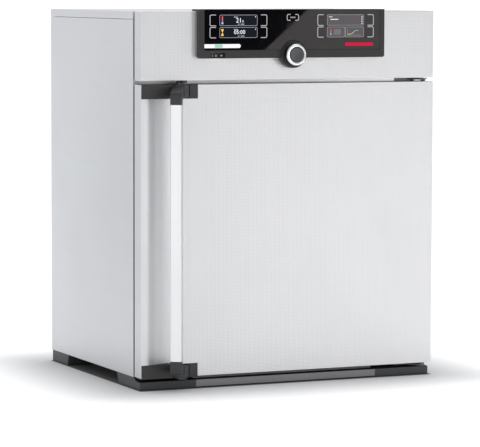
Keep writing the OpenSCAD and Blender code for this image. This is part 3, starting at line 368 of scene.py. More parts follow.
def sheet_steel(name, tint, roughness, stretch, embossed=False, depth=0.00002, metallic=1.0):
    """Stainless or coated sheet: streaks, a faint waviness, wiped marks and, where asked, diamonds."""
    material, g, shader, place = start_material(name)
    shader.inputs["Metallic"].default_value = metallic
    streaks = grouped(g, brushed_streaks(), Vector=g.stretched(place, stretch), Fineness=60.0)
    marks = grouped(g, handling_marks(), Vector=place, Scale=6.0)
    shade = g.mixed(streaks["Mask"], toned(tint, 0.975), toned(tint, 1.02))
    rough = g.spread(streaks["Mask"], 0.0, 1.0, roughness - 0.03, roughness + 0.03)
    rough = g.math("ADD", rough, g.math("MULTIPLY", marks["Mask"], 0.05))
    waves = g.noise(place, 2.2, detail=1)
    normal = bumped(g, shader, waves, 0.0006, 0.5)
    if embossed:
        diamonds = grouped(g, diamond_embossing(), Vector=place, Pitch=finishes().emboss_pitch)
        shade = g.mixed(g.math("MULTIPLY", diamonds["Mask"], 0.5), shade, toned(tint, 0.90))
        bumped(g, shader, diamonds["Height"], finishes().emboss_depth, 1.0, normal)
    else:
        bumped(g, shader, streaks["Height"], depth, 0.4, normal)
    g.feed(shader.inputs["Base Color"], shade)
    g.feed(shader.inputs["Roughness"], rough)
    return material


def moulded(name, tint, roughness, grain=None, depth=0.00004, coat=0.0):
    """Moulded plastic or rubber with a fine grain and rubbed marks."""
    material, g, shader, place = start_material(name)
    shader.inputs["Coat Weight"].default_value = coat
    shader.inputs["Coat Roughness"].default_value = 0.2
    texture = grouped(g, moulded_grain(), Vector=place, Grain=grain or finishes().grain_size)
    marks = grouped(g, handling_marks(), Vector=place, Scale=14.0)
    shade = g.mixed(texture["Mask"], toned(tint, 0.86), toned(tint, 1.12))
    rubbed = g.math("MULTIPLY", marks["Mask"], 0.25)
    rough = g.spread(texture["Mask"], 0.0, 1.0, roughness - 0.04, roughness + 0.05)
    g.feed(shader.inputs["Base Color"], g.mixed(rubbed, shade, toned(tint, 1.35)))
    g.feed(shader.inputs["Roughness"], g.math("SUBTRACT", rough, g.math("MULTIPLY", marks["Mask"], 0.08)))
    bumped(g, shader, texture["Height"], depth, 0.5)
    return material


def polished(name, tint, roughness):
    """Bright turned or plated metal with faint turning lines."""
    material, g, shader, place = start_material(name)
    shader.inputs["Metallic"].default_value = 1.0
    lines = grouped(g, brushed_streaks(), Vector=place, Fineness=900.0)
    marks = grouped(g, handling_marks(), Vector=place, Scale=60.0)
    g.feed(shader.inputs["Base Color"], g.mixed(lines["Mask"], toned(tint, 0.96), toned(tint, 1.02)))
    rough = g.spread(lines["Mask"], 0.0, 1.0, roughness, roughness + 0.04)
    g.feed(shader.inputs["Roughness"], g.math("ADD", rough, g.math("MULTIPLY", marks["Mask"], 0.06)))
    bumped(g, shader, lines["Height"], 0.00001, 0.3)
    return material


def lit(name, tint, strength):
    """A glowing area behind the glass, display or print, slightly uneven; on print the glow is painted light."""
    material, g, shader, place = start_material(name)
    shader.inputs["Emission Strength"].default_value = strength
    shader.inputs["Roughness"].default_value = 0.35
    shader.inputs["Specular IOR Level"].default_value = 0.1
    cloud = g.noise(place, 180.0, detail=1)
    shade = g.mixed(cloud, toned(tint, 0.94), toned(tint, 1.05))
    g.feed(shader.inputs["Base Color"], g.mixed(cloud, toned(tint, 0.3), toned(tint, 0.34)))
    g.feed(shader.inputs["Emission Color"], shade)
    return material


def once(name, make, *values, **named):
    """The material of that name, made at its first use."""
    return bpy.data.materials.get(name) or make(name, *values, **named)


# ---------------------------------------------------------------- the object's materials


def textured_steel():
    return once("Textured steel", sheet_steel, finishes().door_steel, 0.42, (1.0, 1.0, 0.06), embossed=True)


def casing_steel():
    return once("Casing steel", sheet_steel, finishes().casing_steel, 0.40, (1.0, 0.05, 1.0))


def chamber_steel():
    return once("Chamber steel", sheet_steel, finishes().chamber_steel, 0.30, (0.05, 1.0, 1.0))


def zinc_sheet():
    return once("Zinc sheet", galvanised, finishes().zinc)


def galvanised(name, tint):
    """Galvanised sheet with its crystal flowers."""
    material, g, shader, place = start_material(name)
    shader.inputs["Metallic"].default_value = 1.0
    flowers = g.add("ShaderNodeTexVoronoi", feature="F1")
    g.feed(flowers.inputs["Vector"], place)
    flowers.inputs["Scale"].default_value = 75.0
    tone = g.add("ShaderNodeSeparateColor")
    g.feed(tone.inputs[0], flowers.outputs["Color"])
    marks = grouped(g, handling_marks(), Vector=place, Scale=4.0)
    g.feed(shader.inputs["Base Color"], g.mixed(tone.outputs[0], toned(tint, 0.93), toned(tint, 1.06)))
    rough = g.spread(tone.outputs[1], 0.0, 1.0, 0.36, 0.48)
    g.feed(shader.inputs["Roughness"], g.math("ADD", rough, g.math("MULTIPLY", marks["Mask"], 0.08)))
    bumped(g, shader, g.noise(place, 3.0, detail=1), 0.0006, 0.5)
    return material


def handle_satin():
    return once("Handle satin", sheet_steel, finishes().handle, 0.34, (1.0, 1.0, 0.04), metallic=0.85)


def dark_plastic():
    return once("Dark plastic", moulded, finishes().dark_plastic, 0.42)


def bezel_plastic():
    return once("Bezel plastic", moulded, finishes().bezel, 0.55)


def foot_plastic():
    return once("Foot plastic", moulded, finishes().foot_plastic, 0.5, grain=0.0011, depth=0.00007)


def plinth_plastic():
    return once("Plinth strip", moulded, finishes().plinth, 0.45)


def seal_rubber():
    return once("Seal silicone", moulded, (0.055, 0.056, 0.058), 0.55, grain=0.002, depth=0.00005)


def pad_rubber():
    return once("Pad rubber", moulded, (0.018, 0.018, 0.019), 0.75, grain=0.0014, depth=0.00008)


def socket_plastic():
    return once("Socket plastic", moulded, (0.016, 0.016, 0.017), 0.38)


def knob_plastic():
    return once("Knob plastic", moulded, (0.012, 0.012, 0.013), 0.30, coat=0.2)


def bright_steel():
    return once("Bright steel", polished, (0.78, 0.79, 0.80), 0.20)


def dark_steel():
    return once("Dark steel", polished, (0.16, 0.16, 0.165), 0.34)


def chrome():
    return once("Knob chrome", polished, (0.97, 0.97, 0.98), 0.16)


def bronze():
    return once("Bush bronze", polished, (0.55, 0.36, 0.16), 0.35)


def clear_glass(name, tint, roughness=0.02):
    """A clear pane with a few wiped marks."""
    material, g, shader, place = start_material(name)
    shader.inputs["Base Color"].default_value = (*tint, 1.0)
    shader.inputs["Transmission Weight"].default_value = 1.0
    shader.inputs["IOR"].default_value = 1.5
    marks = grouped(g, handling_marks(), Vector=place, Scale=9.0)
    g.feed(shader.inputs["Roughness"], g.spread(marks["Mask"], 0.0, 1.0, roughness, roughness + 0.05))
    return material


def black_glass(name, tint):
    """Glass printed black on its back: deep black under a clean gloss."""
    material, g, shader, place = start_material(name)
    shader.inputs["IOR"].default_value = 1.5
    marks = grouped(g, handling_marks(), Vector=place, Scale=30.0)
    g.feed(shader.inputs["Base Color"], g.mixed(marks["Mask"], toned(tint, 1.0), toned(tint, 1.4)))
    g.feed(shader.inputs["Roughness"], g.spread(marks["Mask"], 0.0, 1.0, 0.015, 0.06))
    return material


# ---------------------------------------------------------------- mesh helpers


def new_piece(name, mesh, material, body):
    """An object at the origin that rides on a body."""
    piece = bpy.data.objects.new(name, mesh)
    bpy.context.scene.collection.objects.link(piece)
    if material is not None:
        mesh.materials.clear()
        mesh.materials.append(material)
    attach(piece, body)
    return piece


def finish_shading(mesh, sharp=SHARP):
    """Smooth shading, broken at edges sharper than an angle in degrees and round the large flat faces."""
    mesh.polygons.foreach_set("use_smooth", [True] * len(mesh.polygons))
    mesh.set_sharp_from_angle(angle=math.radians(sharp))
    bm = bmesh.new()
    bm.from_mesh(mesh)
    for edge in bm.edges:
        areas = sorted(face.calc_area() for face in edge.link_faces)
        if len(areas) == 2 and areas[1] > FLAT_AREA and areas[1] > FLAT_SHARE * areas[0]:
            edge.smooth = False
    bm.to_mesh(mesh)
    bm.free()


def welded(node):
    """A bmesh of a CAD node with its triangles joined and its flat faces made whole."""
    bm = bmesh.new()
    bm.from_mesh(frame["nodes"][node].data)
    bmesh.ops.remove_doubles(bm, verts=bm.verts, dist=0.01 * MM)
    bmesh.ops.dissolve_limit(bm, angle_limit=math.radians(0.5), verts=bm.verts, edges=bm.edges)
    return bm


def on_box_edge(lo, hi):
    """A test for edges that lie along the edges of a box."""

    def test(edge):
        middle = (edge.verts[0].co + edge.verts[1].co) / 2
        at_end = sum(min(abs(middle[i] - lo[i]), abs(middle[i] - hi[i])) < 0.02 * MM for i in range(3))
        return at_end >= 2

    return test


def broken_edges(bm, width, chosen=None, angle=40.0, segments=2):
    """Bevels the sharp edges of a bmesh, or those of them that pass a test."""
    edges = [
        e for e in bm.edges
        if len(e.link_faces) == 2 and e.calc_face_angle(0.0) > math.radians(angle)
        and (chosen is None or chosen(e))
    ]
    if edges:
        bmesh.ops.bevel(bm, geom=edges, offset=width, segments=segments, profile=0.5,
                        affect="EDGES", clamp_overlap=True)


def finished_copy(node, material, width=None, outer=None):
    """A copy of a CAD node with broken edges, which stands for the node.
    width breaks every sharp edge, and outer breaks those along the node's box."""
    bm = welded(node)
    if outer:
        broken_edges(bm, outer, chosen=on_box_edge(*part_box(node)))
    if width:
        broken_edges(bm, width)
    mesh = bpy.data.meshes.new(node + "_finished")
    bm.to_mesh(mesh)
    bm.free()
    finish_shading(mesh)
    body = frame["nodes"][node]["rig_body"]
    piece = new_piece(node + "_finished", mesh, material, body)
    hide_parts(node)
    return piece


def dress(node, material):
    """Gives a CAD node that keeps its shape its material."""
    piece = frame["nodes"][node]
    if not piece.material_slots:
        piece.data.materials.append(material)
    for place in piece.material_slots:
        place.link = "OBJECT"
        place.material = material


def shade_faces(piece, material, test):
    """Gives the faces that pass a test a second material."""
    piece.data.materials.append(material)
    for face in piece.data.polygons:
        if test(face):
            face.material_index = len(piece.data.materials) - 1


def plate(outline, front, back):
    """A closed plate between two depths, from an outline of (x, z) points."""
    bm = bmesh.new()
    face = bm.faces.new([bm.verts.new((x, front, z)) for x, z in outline])
    grown = bmesh.ops.extrude_face_region(bm, geom=[face])
    moved = [v for v in grown["geom"] if isinstance(v, bmesh.types.BMVert)]
    bmesh.ops.translate(bm, verts=moved, vec=(0, back - front, 0))
    bmesh.ops.recalc_face_normals(bm, faces=bm.faces)
    return bm


def joined(parts):
    """One bmesh from several."""
    whole = bmesh.new()
    for part in parts:
        mesh = bpy.data.meshes.new("part")
        part.to_mesh(mesh)
        part.free()
        whole.from_mesh(mesh)
        bpy.data.meshes.remove(mesh)
    return whole


def piece_from(bm, name, material, body, sharp=SHARP):
    mesh = bpy.data.meshes.new(name)
    bm.to_mesh(mesh)
    bm.free()
    finish_shading(mesh, sharp)
    return new_piece(name, mesh, material, body)


def arc(x, z, radius, start, end, steps):
    """Points along an arc, with its angles in degrees."""
    angles = [math.radians(start + (end - start) * i / steps) for i in range(steps + 1)]
    return [(x + radius * math.cos(a), z + radius * math.sin(a)) for a in angles]


def round_box(x0, x1, z0, z1, radius, steps=6):
    """Outline of a rectangle with round corners."""
    corners = ((x1 - radius, z1 - radius, 0), (x0 + radius, z1 - radius, 90),
               (x0 + radius, z0 + radius, 180), (x1 - radius, z0 + radius, 270))
    return [p for x, z, a in corners for p in arc(x, z, radius, a, a + 90, steps)]


def skin_rings(bm, rings, closed, weld=False):
    """Joins rings of corners with faces, round to the first one or capped at both ends."""
    count = len(rings[0])
    for first, second in zip(rings, rings[1:] + rings[:1] if closed else rings[1:]):
        for i in range(count):
            k = (i + 1) % count
            bm.faces.new((first[i], first[k], second[k], second[i]))
    if not closed:
        bm.faces.new(rings[0])
        bm.faces.new(rings[-1])
    if weld:
        bmesh.ops.remove_doubles(bm, verts=bm.verts, dist=WELD)
    bmesh.ops.recalc_face_normals(bm, faces=bm.faces)


def stroke(points, width, front, back, closed=False):
    """A flat line of constant width along (x, z) points, with mitred corners."""
    count = len(points)
    sides = []
    for i, (x, z) in enumerate(points):
        before = points[i - 1] if i or closed else None
        after = points[(i + 1) % count] if i + 1 < count or closed else None
        ways = []
        for a, b in ((before, (x, z)), ((x, z), after)):
            if a is not None and b is not None:
                ways.append(Vector((b[0] - a[0], b[1] - a[1])).normalized())
        way = sum(ways, Vector((0, 0))).normalized()
        across = Vector((-way.y, way.x)) * (width / 2) / max(0.5, way.dot(ways[0]))
        sides.append(((x + across.x, z + across.y), (x - across.x, z - across.y)))
    bm = bmesh.new()
    rings = []
    for left, right in sides:
        rings.append([bm.verts.new((side[0], y, side[1]))
                      for side, y in ((left, front), (right, front), (right, back), (left, back))])
    skin_rings(bm, rings, closed)
    return bm


def lathed(profile, x, z, segments=96):
    """A body turned about a line along Y. The profile is a closed loop of (radius, y) points."""
    bm = bmesh.new()
    rings = []
    for i in range(segments):
        a = 2 * math.pi * i / segments
        rings.append([bm.verts.new((x + r * math.cos(a), y, z + r * math.sin(a))) for r, y in profile])
    skin_rings(bm, rings, closed=True, weld=True)
    return bm


def digits(text, height, x, z, front, back, material, name, body="cabinet"):
    """Numbers as closed plates, with their lower left corner at (x, z)."""
    curve = bpy.data.curves.new(name, "FONT")
    curve.body = text
    curve.size = height / 0.7
    curve.extrude = (back - front) / 2
    curve.resolution_u = 3
    holder = bpy.data.objects.new(name + "_outline", curve)
    bpy.context.scene.collection.objects.link(holder)
    bpy.context.view_layer.update()
    mesh = bpy.data.meshes.new_from_object(holder.evaluated_get(bpy.context.evaluated_depsgraph_get()))
    bpy.data.objects.remove(holder)
    mesh.transform(Matrix.Translation((x, (front + back) / 2, z)) @ Matrix.Rotation(math.radians(90), 4, "X"))
    bm = bmesh.new()
    bm.from_mesh(mesh)
    bmesh.ops.remove_doubles(bm, verts=bm.verts, dist=WELD)
    bmesh.ops.recalc_face_normals(bm, faces=bm.faces)
    bpy.data.meshes.remove(mesh)
    return piece_from(bm, name, material, body)


# ---------------------------------------------------------------- repeated parts


def nodes_result(tree, values, name, seed=None):
    """Runs a Geometry Nodes tree once on the cabinet and keeps its result as a plain piece."""
    carrier = bpy.data.objects.new(name, seed or bpy.data.meshes.new(name + "_seed"))
    bpy.context.scene.collection.objects.link(carrier)
    modifier = carrier.modifiers.new("Repeat", "NODES")
    modifier.node_group = tree
    for item in tree.interface.items_tree:
        if item.item_type == "SOCKET" and item.in_out == "INPUT" and item.name in values:
            modifier[item.identifier] = values[item.name]
    bpy.context.view_layer.update()
    mesh = bpy.data.meshes.new_from_object(carrier.evaluated_get(bpy.context.evaluated_depsgraph_get()))
    carrier.modifiers.remove(modifier)
    bpy.data.objects.remove(carrier)
    finish_shading(mesh)
    return new_piece(name, mesh, values["Material"], "cabinet")


def repeating_tree(name, inputs, build):
    """A tree that sets copies of a shape on points. build(graph, inputs) returns both."""
    tree = bpy.data.node_groups.new(name, "GeometryNodeTree")
    tree.interface.new_socket("Geometry", in_out="INPUT", socket_type="NodeSocketGeometry")
    for label, kind in (*inputs, ("Material", "Material")):
        tree.interface.new_socket(label, in_out="INPUT", socket_type="NodeSocket" + kind)
    tree.interface.new_socket("Geometry", in_out="OUTPUT", socket_type="NodeSocketGeometry")
    g = Graph(tree)
    entry = g.add("NodeGroupInput").outputs
    points, shape = build(g, entry)
    copies = g.add("GeometryNodeInstanceOnPoints")
    g.feed(copies.inputs["Points"], points)
    g.feed(copies.inputs["Instance"], shape)
    real = g.add("GeometryNodeRealizeInstances")
    g.feed(real.inputs[0], copies.outputs[0])
    paint = g.add("GeometryNodeSetMaterial")
    g.feed(paint.inputs["Geometry"], real.outputs[0])
    g.feed(paint.inputs["Material"], entry["Material"])
    leave = g.add("NodeGroupOutput")
    g.feed(leave.inputs[0], paint.outputs[0])
    return tree


def row_of(name, shape):
    """A tree that sets copies of a shape in a row. shape(graph, inputs) returns one of them."""

    def build(g, entry):
        line = g.add("GeometryNodeMeshLine")
        for socket, label in (("Count", "Count"), ("Start Location", "Start"), ("Offset", "Step")):
            g.feed(line.inputs[socket], entry[label])
        return line.outputs[0], shape(g, entry)

    inputs = (("Count", "Int"), ("Start", "Vector"), ("Step", "Vector"),
              ("Width", "Float"), ("Height", "Float"), ("Depth", "Float"))
    return repeating_tree(name, inputs, build)


def moved(g, geometry, **change):
    """The geometry after a Transform Geometry node, whose inputs change gives."""
    node = g.add("GeometryNodeTransform")
    g.feed(node.inputs["Geometry"], geometry)
    for label, value in change.items():
        g.feed(node.inputs[label], value)
    return node.outputs[0]


def contact_shape(g, entry):
    """A slim flat contact."""
    size = g.add("ShaderNodeCombineXYZ")
    for socket, label in zip(size.inputs, ("Width", "Depth", "Height")):
        g.feed(socket, entry[label])
    block = g.add("GeometryNodeMeshCube")
    g.feed(block.inputs["Size"], size.outputs[0])
    return block.outputs[0]


def slat_shape(g, entry):
    """A thin slat that leans outwards at its lower edge."""
    return moved(g, contact_shape(g, entry), Rotation=(math.radians(38), 0, 0))


def screw_tree():
    """A tree that sets a pan-head screw on each point of a mesh."""
    disc, crown_share, crown_top, sides = 0.6, 0.4, 0.72, 20

    def build(g, entry):
        radius, height = entry["Head radius"], entry["Head height"]
        head = g.add("GeometryNodeMeshCylinder", fill_type="NGON")
        head.inputs["Vertices"].default_value = sides
        g.feed(head.inputs["Radius"], radius)
        g.feed(head.inputs["Depth"], g.math("MULTIPLY", height, disc))
        crown = g.add("GeometryNodeMeshCone", fill_type="NGON")
        crown.inputs["Vertices"].default_value = sides
        g.feed(crown.inputs["Radius Bottom"], radius)
        g.feed(crown.inputs["Radius Top"], g.math("MULTIPLY", radius, crown_top))
        g.feed(crown.inputs["Depth"], g.math("MULTIPLY", height, crown_share))
        raised = g.add("ShaderNodeCombineXYZ")
        g.feed(raised.inputs[2], g.math("MULTIPLY", height, disc / 2))
        lift = moved(g, crown.outputs[0], Translation=raised.outputs[0])
        whole = g.add("GeometryNodeJoinGeometry")
        for part in (head.outputs[0], lift):
            g.tree.links.new(part, whole.inputs[0])
        turned = moved(g, whole.outputs[0], Rotation=(math.radians(-90), 0, 0))
        return entry["Geometry"], turned

    return repeating_tree("Pan-head screws", (("Head radius", "Float"), ("Head height", "Float")), build)


# ---------------------------------------------------------------- operators


class PieceOperator(bpy.types.Operator):
    """Base of the operators: runs build() once."""

    bl_options = {"REGISTER"}

    def execute(self, context):
        self.build(context.scene)
        return {"FINISHED"}


class INCUBATOR_OT_casing(PieceOperator):
    """Side panels, top cover and base of the cabinet"""

    bl_idname = "incubator.casing"
    bl_label = "Casing"

    def build(self, scene):
        edge = scene.incubator_finish.edge_break
        for node in ("left_side_panel", "right_side_panel"):
            finished_copy(node, casing_steel(), outer=edge * 0.6)
        finished_copy("top_cover", casing_steel(), outer=edge)
        dress("front_frame", chamber_steel())
        for node in ("base_pan", "electronics_tray"):
            dress(node, zinc_sheet())


class INCUBATOR_OT_front(PieceOperator):
    """Header and door in embossed steel, and the door's inner side"""

    bl_idname = "incubator.front"
    bl_label = "Door and header"

    def build(self, scene):
        edge = scene.incubator_finish.edge_break
        for node in ("header_panel", "door_skin"):
            sheet = finished_copy(node, textured_steel(), outer=edge * 0.8)
            # The returns that face sideways take the darker plain casing steel: painted shade on the faces turned to
            # the side.
            shade_faces(sheet, casing_steel(), lambda face: abs(face.normal.x) > 0.9)
        finished_copy("door_inner_panel", chamber_steel(), width=edge * 0.4)
        dress("door_insulation", once("Mineral wool", wool))
        dress("header_rail", seal_rubber())


class INCUBATOR_OT_gasket(PieceOperator):
    """Door seal with a soft double lip"""

    bl_idname = "incubator.gasket"
    bl_label = "Door seal"

    def build(self, scene):
        width, radius, steps = 22 * MM, 14 * MM, 8
        base, tip = GASKET_HI.y, GASKET_LO.y
        shoulder = base - (base - tip) * 0.35
        half = [(0.0, base), (0.0, shoulder), (0.12, tip + 0.6 * MM), (0.24, tip), (0.38, tip + 1.2 * MM)]
        section = [(share * width, y) for share, y in half] + [(width * 0.5, tip + 3.0 * MM)]
        section += [((1 - share) * width, y) for share, y in reversed(half)]
        corners = ((1, 1), (-1, 1), (-1, -1), (1, -1))
        rings = []
        bm = bmesh.new()
        for index, (sx, sz) in enumerate(corners):
            outer_x = GASKET_HI.x if sx > 0 else GASKET_LO.x
            outer_z = GASKET_HI.z if sz > 0 else GASKET_LO.z
            centre = (outer_x - sx * (width + radius), outer_z - sz * (width + radius))
            for step in range(steps + 1):
                a = math.radians(90 * index + 90 * step / steps)
                rings.append([bm.verts.new((centre[0] + (radius + out) * math.cos(a), y,
                                            centre[1] + (radius + out) * math.sin(a))) for out, y in section])
        skin_rings(bm, rings, closed=True)
        piece = piece_from(bm, "door_seal_lips", seal_rubber(), "cabinet", sharp=50)
        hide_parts("door_gasket")


def wool(name):
    """Insulation mat: soft matte fibres."""
    material, g, shader, place = start_material(name)
    fibres = g.noise(g.stretched(place, (1.0, 1.0, 3.0)), 220.0, detail=6, roughness=0.7)
    g.feed(shader.inputs["Base Color"], g.mixed(fibres, (0.42, 0.36, 0.20), (0.62, 0.56, 0.36)))
    g.feed(shader.inputs["Roughness"], g.spread(fibres, 0.2, 0.8, 0.85, 1.0))
    bumped(g, shader, fibres, 0.001, 0.8)
    return material


class INCUBATOR_OT_chamber(PieceOperator):
    """Chamber, its air path and what lies behind its walls"""

    bl_idname = "incubator.chamber"
    bl_label = "Chamber"

    def build(self, scene):
        for node in ("chamber_liner", "fan_baffle"):
            dress(node, chamber_steel())
        for node in ("temperature_sensors", "fan_wheel", "air_flap", "exhaust_duct"):
            dress(node, bright_steel())
        dress("insulation_mats", once("Mineral wool", wool))
        dress("heating_elements", once("Heater foil", sheet_steel, (0.62, 0.36, 0.14), 0.38, (0.2, 1.0, 1.0)))
        dress("fan_motor", once("Motor paint", moulded, (0.075, 0.08, 0.085), 0.4))
        dress("flap_motor", once("Actuator plastic", moulded, (0.62, 0.61, 0.56), 0.45))
        for node in ("upper_shelf", "lower_shelf"):
            dress(node, once("Shelf wire", polished, (0.74, 0.75, 0.76), 0.16))


class INCUBATOR_OT_glass_door(PieceOperator):
    """Inner glass door with its clamps and pull knob"""

    bl_idname = "incubator.glass_door"
    bl_label = "Glass door"

    def build(self, scene):
        finished_copy("glass_pane", once("Pane glass", clear_glass, (0.93, 0.98, 0.96)), width=0.4 * MM)
        for node in ("glass_door_fittings", "glass_door_brackets"):
            finished_copy(node, bright_steel(), width=0.5 * MM)


class INCUBATOR_OT_cockpit(PieceOperator):
    """Bezel and black glass of the control cockpit"""

    bl_idname = "incubator.cockpit"
    bl_label = "Cockpit"
    boss_gap: length("Gap round the boss", "Gap between the glass and the knob's boss", 0.002)
    corner: length("Glass corner", "Radius of the glass's lower corners", 0.0035)

    def build(self, scene):
        edge = scene.incubator_finish.plastic_break
        bezel = finished_copy("cockpit_bezel", bezel_plastic(), width=edge)
        # The walls inside the notch are painted near black: painted shade of the recess.
        shade_faces(bezel, once("Notch black", moulded, (0.006, 0.006, 0.006), 0.6), self.in_notch)
        boss = 31 * MM + self.boss_gap
        low, high = GLASS_LO.z, GLASS_HI.z
        side = GLASS_HI.x
        reach = math.degrees(math.asin((low - KNOB_Z) / boss))
        bar_radius = (BAR_HI.z - BAR_LO.z) / 2 + 0.2 * MM
        bar_middle = (BAR_HI.z + BAR_LO.z) / 2
        outline = [(side, high), (-side, high), (-side, bar_middle + bar_radius)]
        outline += arc(BAR_HI.x + 0.2 * MM - bar_radius, bar_middle, bar_radius, 90, -90, 12)
        outline += [(-side, bar_middle - bar_radius)]
        outline += arc(-side + self.corner, low + self.corner, self.corner, 180, 270, 6)
        outline += arc(KNOB_X, KNOB_Z, boss, 180 - reach, reach, 32)
        outline += arc(side - self.corner, low + self.corner, self.corner, 270, 360, 6)
        bm = plate(outline, GLASS_LO.y, GLASS_HI.y)
        broken_edges(bm, 0.35 * MM, angle=60)
        deep_black = once("Cockpit glass", black_glass, finishes().glass)
        glass = piece_from(bm, "cockpit_black_glass", deep_black, "cabinet")
        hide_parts("cockpit_glass")
        self.inner_parts()

    def in_notch(self, face):
        """Tells the walls of the notch, behind the bezel's face and below the switch, which get the painted shade.
        """
        return (SWITCH_LO.x - 2 * MM < face.center.x < SWITCH_HI.x + 2 * MM
                and face.center.z < SWITCH_LO.z + 1 * MM and face.center.y > BEZEL_LO.y + 4.5 * MM)

    def inner_parts(self):
        for node in ("display_modules", "control_board"):
            dress(node, once("Board green", moulded, (0.02, 0.10, 0.045), 0.4))
        dress("power_supply", once("Supply board", moulded, (0.03, 0.06, 0.045), 0.45))


# Name of each ink on the glass, with its colour and how brightly it shows
INKS = {
    "Display pale line": ((0.50, 0.53, 0.60), 0.75),
    "Display grey line": ((0.36, 0.35, 0.38), 0.9),
    "Display white": ((0.86, 0.88, 0.90), 1.0),
    "Display red": ((0.80, 0.10, 0.14), 1.0),
    "Display blue": ((0.20, 0.50, 0.85), 1.0),
    "Display amber": ((0.95, 0.55, 0.10), 1.0),
    "Display yellow": ((0.80, 0.72, 0.20), 1.0),
    "Display teal": ((0.20, 0.62, 0.58), 1.0),
    "Red bar": ((0.66, 0.0, 0.035), 0.9),
    # The notch's symbols glow: painted light, as printed symbols give no light of their own.
    "Notch print": ((0.50, 0.50, 0.52), 0.6),
}


def printed(bm, name, ink):
    """A piece of print or display on the cockpit, in an ink's name or a material."""
    material = once(ink, lit, *INKS[ink]) if isinstance(ink, str) else ink
    return piece_from(bm, name, material, "cabinet")


class INCUBATOR_OT_displays(PieceOperator):
    """Both displays, the printed brackets and the small symbols on the glass"""

    bl_idname = "incubator.displays"
    bl_label = "Displays and print"
    inset: length("Frame inset", "Distance of a display's frame line from its edge", 0.0008)
    hairline: length("Hairline", "Width of the thin lines on the displays", 0.0007)
    thick_line: length("Thick line", "Width of the menu field and the trend line", 0.0009)

    def build(self, scene):
        cockpit = scene.incubator_cockpit
        self.front = GLASS_LO.y - 0.12 * MM
        self.back = GLASS_LO.y + 0.3 * MM
        self.under = GLASS_LO.y - 0.06 * MM
        low = GLASS_LO.z + cockpit.rows_above
        step = cockpit.row_height + cockpit.row_gap
        shown = cockpit.row_height - 1.0 * MM
        self.lower, self.upper = (low, low + shown), (low + step - 1.0 * MM, low + step + shown)
        self.brackets(cockpit)
        self.left_screen(cockpit)
        self.right_screen(cockpit)

    def brackets(self, cockpit):
        """The touch fields: round-cornered brackets on both sides of each display row."""
        reach, short_reach, short_height = 15.0 * MM, 8.5 * MM, 13.4 * MM
        strokes = []
        for z0, z1 in (self.lower, self.upper):
            for x, way in ((-209.3, 1), (-67.3, -1), (62.0, 1), (205.6, -1)):
                strokes.append(self.bracket(x * MM, z0 + 0.6 * MM, z1 - 0.6 * MM, reach * way, cockpit.line))
        middle = self.upper[0] + 12.6 * MM
        for x, way in ((-16.0, 1), (13.0, -1)):
            strokes.append(self.bracket(x * MM, middle, middle + short_height, short_reach * way, cockpit.line))
        menu = [(x * MM, middle + z * MM) for x, z in ((-7.4, 7.6), (4.4, 7.6), (4.4, 5.8), (-7.4, 5.8))]
        strokes.append(stroke(menu, self.thick_line, self.front, self.back, closed=True))
        # The print glows: painted light in place of the light that the white print catches.
        printed(joined(strokes), "glass_brackets", once("White print", lit, cockpit.print_grey, 0.55))

    def bracket(self, x, z0, z1, reach, line):
        corner = 3.2 * MM
        way = math.copysign(1, reach)
        bends = (arc(0, z1 - corner, corner, 90, 0, 5), arc(0, z0 + corner, corner, 0, -90, 5))
        upper, lower = ([(x + way * corner - way * px, pz) for px, pz in bend] for bend in bends)
        return stroke([(x + reach, z1)] + upper + lower + [(x + reach, z0)], line, self.front, self.back)

    def screens(self, x0, x1, fill, side):
        """The two rows of a display."""
        for index, (z0, z1) in enumerate((self.lower, self.upper)):
            row = plate(round_box(x0, x1, z0, z1, 1.2 * MM), self.under, self.back)
            printed(row, f"{side}_display_row_{index}", fill)

    def frame_line(self, x0, x1, z0, z1):
        outline = round_box(x0, x1, z0, z1, 2.6 * MM, 4)
        return stroke(outline, self.hairline, self.front, self.back, closed=True)

    def dot(self, x, z, radius):
        return plate(arc(x, z, radius, 0, 360, 12)[:-1], self.front, self.back)

    def bar(self, x0, x1, z0, z1):
        return plate([(x0, z0), (x1, z0), (x1, z1), (x0, z1)], self.front, self.back)

    def number(self, text, height, x, z, name):
        white = once("Display white", lit, *INKS["Display white"])
        digits(text, height, x, z, self.front, self.back, white, name)

    def left_screen(self, cockpit):
        """Temperature above and timer below, each with its symbol."""
        half = cockpit.screen_width / 2
        x0, x1 = -cockpit.screen_x - half - 2.4 * MM, -cockpit.screen_x + half - 2.6 * MM
        upper, lower, inset = self.upper, self.lower, self.inset
        self.screens(x0, x1, once("Left display", lit, cockpit.left_screen, 0.9), "left")
        lines = [self.frame_line(x0 + inset, x1 - inset, z0 + inset, z1 - inset) for z0, z1 in (lower, upper)]
        for z0, z1 in (lower, upper):
            for start, end in ((46, 50), (53, 62)):
                lines.append(self.bar(x0 + start * MM, x0 + end * MM, z0 + 3.4 * MM, z0 + 5.0 * MM))
            lines.append(self.bar(x0 + 36 * MM, x0 + 46 * MM, z1 - 6.2 * MM, z1 - 4.6 * MM))
        printed(joined(lines), "left_display_lines", "Display pale line")
        self.number("21", 10.5 * MM, x0 + 41 * MM, upper[0] + 8.0 * MM, "temperature_digits")
        self.number("0", 5.2 * MM, x0 + 56.6 * MM, upper[0] + 8.0 * MM, "temperature_decimal")
        self.number("05:00", 9.0 * MM, x0 + 36 * MM, lower[0] + 9.0 * MM, "timer_digits")
        dots = [self.dot(x1 - 5.0 * MM, row[1] - 5.0 * MM, 1.1 * MM) for row in (lower, upper)]
        printed(joined(dots), "left_display_dots", "Display white")
        middle = x0 + 7.4 * MM
        stem, bulb = 1.3 * MM, 2.6 * MM
        printed(self.bar(middle - stem, middle + stem, upper[0] + 8.5 * MM, upper[1] - 4.0 * MM),
                "thermometer_stem", "Display red")
        printed(self.dot(middle, upper[0] + 6.4 * MM, bulb), "thermometer_bulb", "Display blue")
        printed(joined(self.hourglass(middle, lower[0] + 5.0 * MM, lower[1] - 4.5 * MM)),
                "hourglass", "Display amber")

